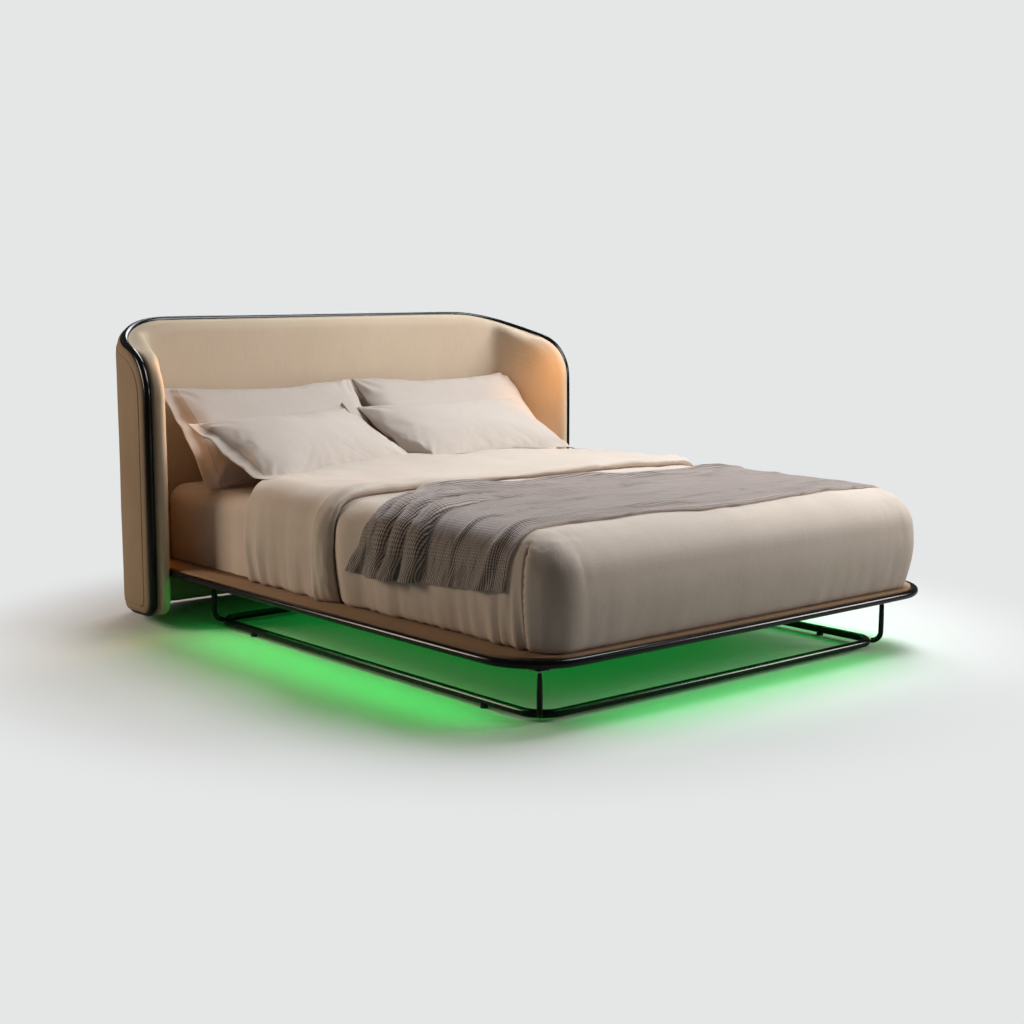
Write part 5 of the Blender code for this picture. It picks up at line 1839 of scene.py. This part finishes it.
@dataclass
class Throw:
    """The knitted throw: its edges on the bed, its pleats and its wall."""

    form: DuvetForm
    creases: Callable[[np.ndarray, np.ndarray], np.ndarray]
    width: float = 0.76
    cell: float = 0.008
    thickness: float = 0.005
    seat: float = 0.0012
    hem_height: float = 0.0012
    left_hem: float = -0.905
    right_hem: float = 0.89
    rear_points: tuple[tuple[float, float], ...] = (
        (-0.905, -0.235), (-0.86, -0.262), (-0.81, -0.3), (-0.765, -0.325), (-0.72, -0.33), (-0.66, -0.3),
        (-0.6, -0.262), (-0.475, -0.222), (-0.29, -0.235), (-0.02, -0.29), (0.25, -0.306), (0.6, -0.325),
        (0.7, -0.36), (0.89, -0.39),
    )
    foot_points: tuple[tuple[float, float], ...] = (
        (-0.905, -0.965), (-0.82, -0.975), (-0.74, -0.985), (-0.62, -0.979), (-0.12, -1.02), (0.3, -1.012),
        (0.675, -0.999), (0.89, -0.985),
    )
    # The pleats over the left side: their place as a share of the width, their depth and half width
    broad_pleats: tuple[Point, ...] = (
        (0.935, 0.016, 0.036), (0.838, 0.036, 0.056), (0.725, 0.04, 0.058), (0.61, 0.03, 0.058),
    )
    narrow_pleats: tuple[Point, ...] = ((0.335, 0.009, 0.014), (0.095, 0.016, 0.03))
    # The ridges on top: the same three numbers, then their middle across the bed and their half length
    ridges: tuple[tuple[float, float, float, float, float], ...] = (
        (0.9, 0.020, 0.022, -0.42, 0.24), (0.78, 0.017, 0.026, -0.35, 0.28), (0.95, 0.019, 0.018, 0.02, 0.2),
        (0.62, 0.011, 0.028, -0.15, 0.3), (0.84, 0.014, 0.02, 0.22, 0.2), (0.4, 0.009, 0.035, -0.3, 0.3),
        (0.98, 0.018, 0.02, 0.6, 0.12), (0.7, 0.012, 0.025, 0.5, 0.2), (0.24, 0.010, 0.03, 0.3, 0.3),
        (0.06, 0.012, 0.02, -0.3, 0.3),
    )

    @staticmethod
    def _edge(points: Sequence[tuple[float, float]], girth: np.ndarray) -> np.ndarray:
        """An edge's place along the bed, smoothly through its points.

        Args:
            points: Pairs of girth and place.
            girth: Where it is wanted.

        Returns:
            The places.
        """
        table = np.array(points)
        fine = np.linspace(table[0, 0], table[-1, 0], 400)
        line = np.interp(fine, table[:, 0], table[:, 1])
        kernel = np.hanning(15)
        padded = np.pad(line, 7, mode="edge")
        line = np.convolve(padded, kernel / kernel.sum(), mode="valid")
        return np.interp(girth, fine, line)

    def build(self) -> bpy.types.Object:
        """Builds the throw.

        Returns:
            The piece.
        """
        length = self.right_hem - self.left_hem
        cells = {"x_subdivisions": round(length / self.cell), "y_subdivisions": round(self.width / self.cell)}
        piece = add_primitive(bpy.ops.mesh.primitive_grid_add, "throw_cloth", size=1, **cells)
        lay_cloth_map(piece, lambda points, normals: (points[:, :2] + 0.5) * np.array((length, self.width)))
        from_left, share, _ = (read_points(piece) + np.array((0.5, 0.5, 0))).T
        girth = self.left_hem + from_left * length
        foot, rear = self._edge(self.foot_points, girth), self._edge(self.rear_points, girth)
        along = foot + (rear - foot) * share
        places, outward = self._on_block(girth, along, share)
        folds = self._folds(girth, share, along)
        from_ends = np.minimum(from_left, 1 - from_left) * length
        border = np.minimum(np.minimum(share, 1 - share) * self.width, from_ends)
        hem = self.hem_height * hump(border - 0.004, 0.006)
        offset = self.form.offset(places, outward) + self.creases(places, outward)
        low = self.form.inner + offset + self.seat + folds
        hanging = ease((-girth - 0.62) / 0.12)
        pleated = ease((share - 0.53) / 0.05) * ease((0.965 - share) / 0.03)
        # Painted shade: how far the valleys between the hanging pleats darken the knit's colour
        hollow_shade = piece.data.attributes.new(PAINTED_PLEAT_SHADE, "FLOAT", "POINT")
        hollow_shade.data.foreach_set("value", hanging * pleated * ease(1 - folds / 0.017))
        write_points(piece, self.form.surface(places, low + self.thickness + 2 * hem))
        give_wall(piece, self.form.surface(places, low - hem * 0.3))
        hand_over(piece, Finish.KNIT, ["throw"])
        return piece

    def _on_block(
        self, girth: np.ndarray, along: np.ndarray, share: np.ndarray
    ) -> tuple[np.ndarray, np.ndarray]:
        """The throw's points on the block's sharp box.

        Args:
            girth: Distances across the bed, over its shoulders and down.
            along: Places along the bed.
            share: Shares of the throw's width, from its foot edge.

        Returns:
            The points and the directions out of the core.
        """
        block = self.form.block
        hem_slope = 1 - 0.28 * (1 - share) ** 1.5 * (girth < 0)
        drop = np.maximum(np.abs(girth) - block.half_width, 0) * hem_slope
        across = np.clip(girth, -block.half_width, block.half_width)
        places = np.column_stack((across, along, block.top - drop))
        return places, block.spread(places)[1]

    def _folds(self, girth: np.ndarray, share: np.ndarray, along: np.ndarray) -> np.ndarray:
        """How far the throw's folds stand off the duvet.

        Args:
            girth: Distances across the bed.
            share: Shares of the throw's width.
            along: Places along the bed.

        Returns:
            One distance a point.
        """
        hanging = ease((-girth - 0.66) / 0.12)
        along_top = hump(girth + 0.72, 0.3) * 0.8
        fan = self._pleats(girth, share) * np.maximum(hanging, along_top)
        slope = share + 0.10 * girth
        ridges = sum(
            depth * hump(slope - place, width) * hump(girth - middle, spread)
            for place, depth, width, middle, spread in self.ridges
        )
        soft = 0.0028 * (lumps(np.column_stack((girth, along, girth * 0)), 7, 31.0) + 0.6)
        return np.maximum(soft + fan + ridges, 0) * ease(np.minimum(share, 1 - share) / 0.01 + 0.4)

    def _pleats(self, girth: np.ndarray, share: np.ndarray) -> np.ndarray:
        """The pleats that fan out down the left side.

        Args:
            girth: Distances across the bed.
            share: Shares of the throw's width.

        Returns:
            One height a point.
        """
        down = np.clip((-girth - 0.74) / 0.15, -1.2, 1)
        fan = np.zeros_like(girth)
        for pleats, profile in ((self.broad_pleats, self._arch), (self.narrow_pleats, hump)):
            for place, depth, width in pleats:
                slant = place - 0.12 * (place - 0.35) * down
                wavy = 0.012 * np.sin(girth * 23 + place * 40)
                fan = np.maximum(fan, depth * profile((share - slant - wavy) / width))
        return fan

    @staticmethod
    def _arch(away: np.ndarray) -> np.ndarray:
        """A round arch of height 1 and half width 1."""
        return np.sqrt(np.maximum(1 - np.minimum(np.abs(away), 1) ** 2.2, 0))


# The pillows


@dataclass(frozen=True)
class PillowPlace:
    """Where a pillow lies: its size, its middle, its turns, and the planes that it rests against."""

    node: str
    size: Point
    middle: Point
    tilt: float
    turn: float
    rests: tuple[Plane, ...]
    seed: float
    in_front: bool = False


@dataclass
class StuffedCase:
    """A pillow case blown up from two flat layers by cloth simulation."""

    width: float
    depth: float
    cell: float = 0.0092
    gap: float = 0.006
    frames: int = 24
    pressure: float = 4.0

    def build(self, name: str) -> tuple[bpy.types.Object, np.ndarray]:
        """Builds the case at the origin, flat on its back.

        Args:
            name: The piece's name.

        Returns:
            The piece, and each vertex's place on the flat cloth as shares of the half width and half depth,
            with the side of the case that it is on.
        """
        cells = {
            "x_subdivisions": round(self.width / self.cell), "y_subdivisions": round(self.depth / self.cell)
        }
        piece = add_primitive(bpy.ops.mesh.primitive_grid_add, name, size=1, **cells)
        points = read_points(piece) * np.array((self.width, self.depth, 1))
        points[:, 2] = 0.0015 * lumps(points, 9, self.width * 10, 2)
        write_points(piece, points)
        lay_cloth_map(piece, lambda points, normals: points[:, :2])
        layers = piece.modifiers.new("two layers", "SOLIDIFY")
        layers.thickness = self.gap
        layers.offset = 0
        apply_all(piece)
        count = len(piece.data.vertices) // 2
        flat = read_points(piece)
        shares = np.column_stack((flat[:, 0] * 2 / self.width, flat[:, 1] * 2 / self.depth, flat[:, 2] * 0))
        shares[:count, 2] = np.sign(flat[0, 2] - flat[count, 2])
        shares[count:, 2] = -shares[0, 2]
        self._simulate(piece)
        return piece, shares

    def _simulate(self, piece: bpy.types.Object) -> None:
        """Blows the case up.

        Args:
            piece: The case.
        """
        cloth = piece.modifiers.new("cloth", "CLOTH")
        settings = cloth.settings
        settings.quality = 6
        settings.mass = 0.25
        settings.tension_stiffness = settings.compression_stiffness = 25
        settings.shear_stiffness = 10
        settings.bending_stiffness = 0.3
        settings.air_damping = 2
        settings.use_pressure = True
        settings.uniform_pressure_force = self.pressure
        settings.effector_weights.gravity = 0
        cloth.collision_settings.use_collision = False
        cloth.point_cache.frame_start = 1
        cloth.point_cache.frame_end = self.frames
        for number in range(1, self.frames + 1):
            bpy.context.scene.frame_set(number)
        apply_all(piece)
        bpy.context.scene.frame_set(1)


@dataclass
class Pillows:
    """Two pillows that lean on the headboard and two in front of them."""

    form: DuvetForm = field(default_factory=DuvetForm)
    sheet_top: float = 0.4732
    pad_face: float = 1.0106
    wing_x: float = 0.797
    wing_flare: float = math.radians(14.4)
    rear_foot: float = 0.5689
    rear_y: float = 0.824
    rear_z: float = 0.6307
    rear_tilt: float = math.radians(45)
    contact_depth: float = 0.054
    rear_size: Point = (0.82, 0.47, 0.15)
    rear_middles: tuple[float, float] = (-0.35, 0.47)
    rear_lift: float = 0.012
    rear_split: float = 0.062
    front_tilt: float = math.radians(27)
    front_size: Point = (0.79, 0.43, 0.15)
    front_middles: tuple[Point, Point] = ((-0.385, 0.6, 0.605), (0.375, 0.64, 0.61))
    front_turns: tuple[float, float] = (math.radians(13), 0.0)
    split_turn: float = math.radians(22)
    split_y: float = 0.62
    between: float = 0.004
    before_rear: float = 0.0015
    flange: float = 0.035
    droop: float = 0.05
    droop_start: tuple[float, float] = (0.62, 0.46)
    droop_run: tuple[float, float] = (0.16, 0.14)
    give: float = 0.004
    case_size: float = 1.06
    simulated: float = 0.35

    def build(self) -> None:
        """Builds the four pillows from two simulated cases."""
        cases = {}
        for size, name in ((self.rear_size, "case_rear"), (self.front_size, "case_front")):
            cases[size] = StuffedCase(size[0] * self.case_size, size[1] * self.case_size).build(name)
        for place in self._places():
            self._lay(*cases[place.size], place)
        for case, _ in cases.values():
            bpy.data.objects.remove(case, do_unlink=True)

    def _places(self) -> list[PillowPlace]:
        """Where each pillow lies.

        Returns:
            One place a pillow.
        """
        face = (0.0, -math.sin(self.rear_tilt), math.cos(self.rear_tilt))
        contact = tuple(
            middle + step * self.contact_depth for middle, step in zip((0, self.rear_y, self.rear_z), face)
        )
        common = (
            (contact, tuple(-number for number in face)),
            ((0, self.rear_foot, 0), (0, 1, 0)),
            ((0, self.pad_face, 0), (0, -1, 0)),
            ((0, 0, self.sheet_top), (0, 0, 1)),
        )
        front = (tuple(number + step * self.before_rear for number, step in zip(contact, face)), face)
        split = (math.cos(self.split_turn), math.sin(self.split_turn))
        wing = (math.cos(self.wing_flare), math.sin(self.wing_flare))
        places = []
        for number, (side, sign) in enumerate((("left", -1.0), ("right", 1.0))):
            middle = (self.rear_middles[number], self.rear_y, self.rear_z + self.rear_lift)
            rests = (
                *common,
                ((self.rear_split + sign * self.between, 0, 0), (sign, 0, 0)),
                ((sign * self.wing_x, self.pad_face, 0), (-sign * wing[0], -wing[1], 0)),
            )
            places.append(PillowPlace(
                f"pillow_rear_{side}", self.rear_size, middle, self.rear_tilt, 0.0, rests, 41.0 + number
            ))
            rests = (
                front,
                ((sign * self.between * split[0], self.split_y, 0), (sign * split[0], sign * split[1], 0)),
            )
            places.append(PillowPlace(
                f"pillow_front_{side}", self.front_size, self.front_middles[number], self.front_tilt,
                self.front_turns[number], rests, 51.0 + number, True,
            ))
        return places

    def _plump(self, shares: np.ndarray, size: Sequence[float]) -> np.ndarray:
        """A full pillow's smooth shape, with drawn-in sides, a flange at its open end and thin edges.

        Args:
            shares: The vertices' places on the flat case.
            size: The pillow's width, depth and height.

        Returns:
            The points.
        """
        across, along = shares[:, 0], shares[:, 1]
        flange = 1 - self.flange / (size[0] / 2)
        filled = np.clip(np.where(across < 0, across / flange, across), -1, 1)
        opened = ease((-across - flange + 0.05) / 0.06)
        waves = opened * (0.011 * lumps(shares, (1.5, 2.6, 0), size[0] * 30, 2) - 0.006)
        crown = np.maximum((1 - np.abs(filled) ** 3.4) * (1 - np.abs(along) ** 3.4), 0)
        rise = 0.003 + (size[2] / 2 - 0.003) * crown**0.62
        width = size[0] / 2 * across * (1 - 0.035 * (1 - along**2))
        depth = size[1] / 2 * along * (1 - 0.07 * (1 - across**2))
        return np.column_stack((width, depth, rise * shares[:, 2] + waves))

    def _lay(self, case: bpy.types.Object, shares: np.ndarray, place: PillowPlace) -> None:
        """Lays a copy of a case in its place.

        Args:
            case: The simulated case.
            shares: Its vertices' places on the flat cloth.
            place: Where it goes.
        """
        piece = case.copy()
        piece.data = case.data.copy()
        piece.name = piece.data.name = place.node + "_case"
        bpy.context.scene.collection.objects.link(piece)
        local = self._plump(shares, place.size)
        blown = read_points(piece)
        blown = blown / np.abs(blown).max(axis=0) * np.array(place.size) / 2
        blown[:, :2] *= 1.02
        share = self.simulated * ease((shares[:, 0] + 1) / 0.12)[:, None]
        local = local * (1 - share) + blown * share
        local[:, 0] *= -math.copysign(1, place.middle[0])
        local = local + self._creases(local, place)
        turn = Matrix.Rotation(place.turn, 3, "Z") @ Matrix.Rotation(place.tilt, 3, "X")
        points = local @ np.array(turn).T + np.array(place.middle)
        for contact, normal in place.rests:
            points = soft_hold(points, contact, normal, self.give)
        if place.in_front:
            points = self._rest_on_duvet(points)
        write_points(piece, points)
        smooth_surface(piece, 1)
        face_outwards(piece)
        hand_over(piece, Finish.PILLOW, [place.node], angle=180)

    def _rest_on_duvet(self, points: np.ndarray) -> np.ndarray:
        """Lays points on the duvet, over its shoulder too.

        Args:
            points: The pillow's points.

        Returns:
            The points, none of them under the duvet's surface.
        """
        form, block = self.form, self.form.block
        across = np.abs(points[:, 0])
        crown = form.crown * (1 - np.clip(across / block.half_width, 0, 1) ** 2)
        flat = block.half_width - block.rounding
        top = block.top + form.inner + form.top + crown + form.fold + self.give
        radius = top - (block.top - block.rounding)
        over = np.clip((across - flat) / radius, 0, 0.98)
        surface = top - radius * (1 - np.sqrt(1 - over**2))
        held = points.copy()
        outer = ease((across - self.droop_start[0]) / self.droop_run[0])
        foremost = ease((self.droop_start[1] - points[:, 1]) / self.droop_run[1])
        held[:, 2] -= self.droop * outer * foremost
        held[:, 2] = surface + self.give * np.logaddexp(0, (held[:, 2] - surface) / self.give)
        return held

    def _creases(self, local: np.ndarray, place: PillowPlace) -> np.ndarray:
        """Small creases that run in from the seams.

        Args:
            local: The points before the pillow was laid.
            place: Where it lies.

        Returns:
            One vector a point.
        """
        half_width, half_depth = place.size[0] / 2, place.size[1] / 2
        from_end = half_width - np.abs(local[:, 0])
        from_side = half_depth - np.abs(local[:, 1])
        end = 0.0024 * lumps(local, (4, 34, 1), place.seed, 2) * hump(from_end - 0.03, 0.05)
        side = 0.002 * lumps(local, (30, 4, 1), place.seed + 3, 2) * hump(from_side - 0.025, 0.04)
        soft = 0.003 * lumps(local, 6, place.seed + 6, 2)
        angle = np.arctan2(from_side, from_end)
        reach = np.hypot(from_side, from_end)
        fan = 0.0045 * np.sin(angle * 13 + 5 * lumps(local, 7, place.seed + 9, 2)) * hump(reach - 0.07, 0.06)
        height = (end + side + soft + fan) * np.sign(local[:, 2]) * ease(np.abs(local[:, 2]) / 0.015)
        return np.outer(height, (0, 0, 1))


# The studio


@dataclass(frozen=True)
class Lamp:
    """A flat lamp: its place, what it points at, its size, its power in watts, its colour and its spread."""

    name: str
    place: Point
    target: Point
    size: tuple[float, float]
    power: float
    colour: Colour
    spread: float = math.pi

    def hang(self) -> None:
        """Hangs the lamp, out of the camera's sight."""
        data = bpy.data.lights.new(self.name, "AREA")
        data.shape = "RECTANGLE"
        data.size, data.size_y = self.size
        data.energy = self.power
        data.color = self.colour
        data.spread = self.spread
        lamp = put_in_scene(self.name, data)
        lamp.location = self.place
        lamp.rotation_euler = (Vector(self.target) - lamp.location).to_track_quat("-Z", "Y").to_euler()
        lamp.visible_camera = False


GREEN = (0.0, 1.0, 0.12)
AMBER = (1.0, 0.42, 0.03)

# The softboxes, the light of the strips under the deck, and two small warm lamps
LAMPS = (
    Lamp("overhead", (1.35, -0.85, 3.1), (0.25, -0.55, 0.3), (2.3, 1.5), 112, (0.9, 0.955, 1.0)),
    Lamp("rear", (2.1, 2.9, 3.1), (0.0, -0.4, 0.3), (2.0, 1.6), 72, (0.95, 0.98, 1.0)),
    Lamp("right", (4.0, -3.7, 1.9), (0.5, -1.2, 0.3), (1.4, 1.2), 98, (1.0, 0.95, 0.91)),
    Lamp("left", (-3.1, 2.25, 1.5), (-0.9, 0.0, 0.4), (1.2, 1.2), 50, (1.0, 0.83, 0.66)),
    Lamp("strip_left", (-0.805, -0.178, 0.1805), (-0.93, -0.178, 0), (1.5, 0.012), 2.1, GREEN),
    Lamp("strip_right", (0.805, -0.178, 0.1805), (0.93, -0.178, 0), (1.5, 0.012), 2.1, GREEN),
    Lamp("strip_foot", (0, -1.096, 0.1805), (0, -1.2, 0), (1.27, 0.012), 1.25, GREEN),
    Lamp("under_deck", (0, -0.1, 0.155), (0, -0.1, 0), (1.2, 1.7), 1.2, GREEN),
    Lamp("warm_right", (0.66, 0.55, 0.95), (0.93, 0.7, 0.7), (0.2, 0.2), 0.38, AMBER, math.radians(100)),
    Lamp("warm_left", (-0.74, 0.72, 1.0), (-0.93, 0.8, 0.62), (0.1, 0.1), 0.26, AMBER, math.radians(55)),
)


@dataclass
class Studio:
    """The floor, the pale surround, the lamps and the camera."""

    surround: Colour = (0.785, 0.797, 0.8)
    ambient: float = 0.06
    ambient_colour: Colour = (1.0, 0.9, 0.8)
    floor_colour: Colour = (0.77, 0.752, 0.742)
    floor_bounce: Colour = (0.26, 0.26, 0.26)
    floor_size: float = 60.0
    floor_edge: float = 1.2
    floor_end: float = 2.05
    camera_place: Point = (-3.6082, -4.2905, 1.2)
    camera_turn: Point = (math.pi / 2 - 0.1415, 0.0, -0.7045)
    lens: float = 58.36
    sensor: float = 36.0

    def build(self) -> None:
        """Builds the studio."""
        self._floor()
        self._world()
        for lamp in LAMPS:
            lamp.hang()
        self._camera()
        bpy.context.scene.view_settings.view_transform = "Standard"

    def _floor(self) -> None:
        """Lays the floor, which fades into the surround far from the bed."""
        cells = {"x_subdivisions": 12, "y_subdivisions": 12}
        floor = add_primitive(bpy.ops.mesh.primitive_grid_add, "studio_floor", size=self.floor_size, **cells)
        shader = Shader("studio_floor")
        place = shader.place()
        flat = shader.stretched(place, (1, 1, 0))
        distance = shader.node("ShaderNodeVectorMath", {"operation": "LENGTH"}, {0: flat}, 1)
        cloudy = shader.grain(place, 0.8, 2.0)
        seen = shader.node("ShaderNodeLightPath", {}, {}, "Is Camera Ray")
        clear = shader.node("ShaderNodeLightPath", {}, {}, "Is Transmission Ray")
        pale_floor = shader.blend(cloudy * 0.3, self.floor_colour, shade(self.floor_colour, 0.965))
        shader.finish({
            "Base Color": shader.blend(seen, self.floor_bounce, pale_floor),
            "Roughness": 0.6 + 0.05 * cloudy,
            "Specular IOR Level": 0.1,
        })
        lit = Signal(shader, shader.surface.outputs[0])
        pale = shader.node("ShaderNodeEmission", {}, {"Color": self.surround, "Strength": 1.0})
        share = distance.band(self.floor_edge, self.floor_end) * (seen + clear).band(0.0, 1.0)
        mixed = shader.node("ShaderNodeMixShader", {}, {0: share, 1: lit, 2: pale})
        shader.plug(shader.output.inputs["Surface"], mixed)
        floor.data.materials.append(shader.material)

    def _world(self) -> None:
        """Sets the pale surround that the camera sees and the even light that the bed gets."""
        world = bpy.data.worlds.new("studio")
        bpy.context.scene.world = world
        world.use_nodes = True
        tree = world.node_tree
        tree.nodes.clear()
        output = tree.nodes.new("ShaderNodeOutputWorld")
        path = tree.nodes.new("ShaderNodeLightPath")
        rays = tree.nodes.new("ShaderNodeMath")
        rays.operation = "MAXIMUM"
        mixer = tree.nodes.new("ShaderNodeMixShader")
        for number, kind in enumerate(("Is Camera Ray", "Is Transmission Ray")):
            tree.links.new(path.outputs[kind], rays.inputs[number])
        tree.links.new(rays.outputs[0], mixer.inputs[0])
        skies = ((self.ambient_colour, self.ambient), (self.surround, 1.0))
        for number, (colour, strength) in enumerate(skies, 1):
            sky = tree.nodes.new("ShaderNodeBackground")
            sky.inputs[0].default_value = (*colour, 1.0)
            sky.inputs[1].default_value = strength
            tree.links.new(sky.outputs[0], mixer.inputs[number])
        tree.links.new(mixer.outputs[0], output.inputs[0])

    def _camera(self) -> None:
        """Sets the camera at the photograph's viewing angle."""
        data = bpy.data.cameras.new("camera")
        data.lens = self.lens
        data.sensor_width = self.sensor
        camera = put_in_scene("camera", data)
        camera.location = self.camera_place
        camera.rotation_euler = self.camera_turn
        bpy.context.scene.camera = camera


def main() -> None:
    """Builds the bed and its studio."""
    logging.basicConfig(level=logging.INFO, format="%(name)s: %(message)s")
    Base().build()
    Headboard().build()
    Bedding().build()
    Pillows().build()
    Studio().build()


if __name__ == "__main__":
    main()
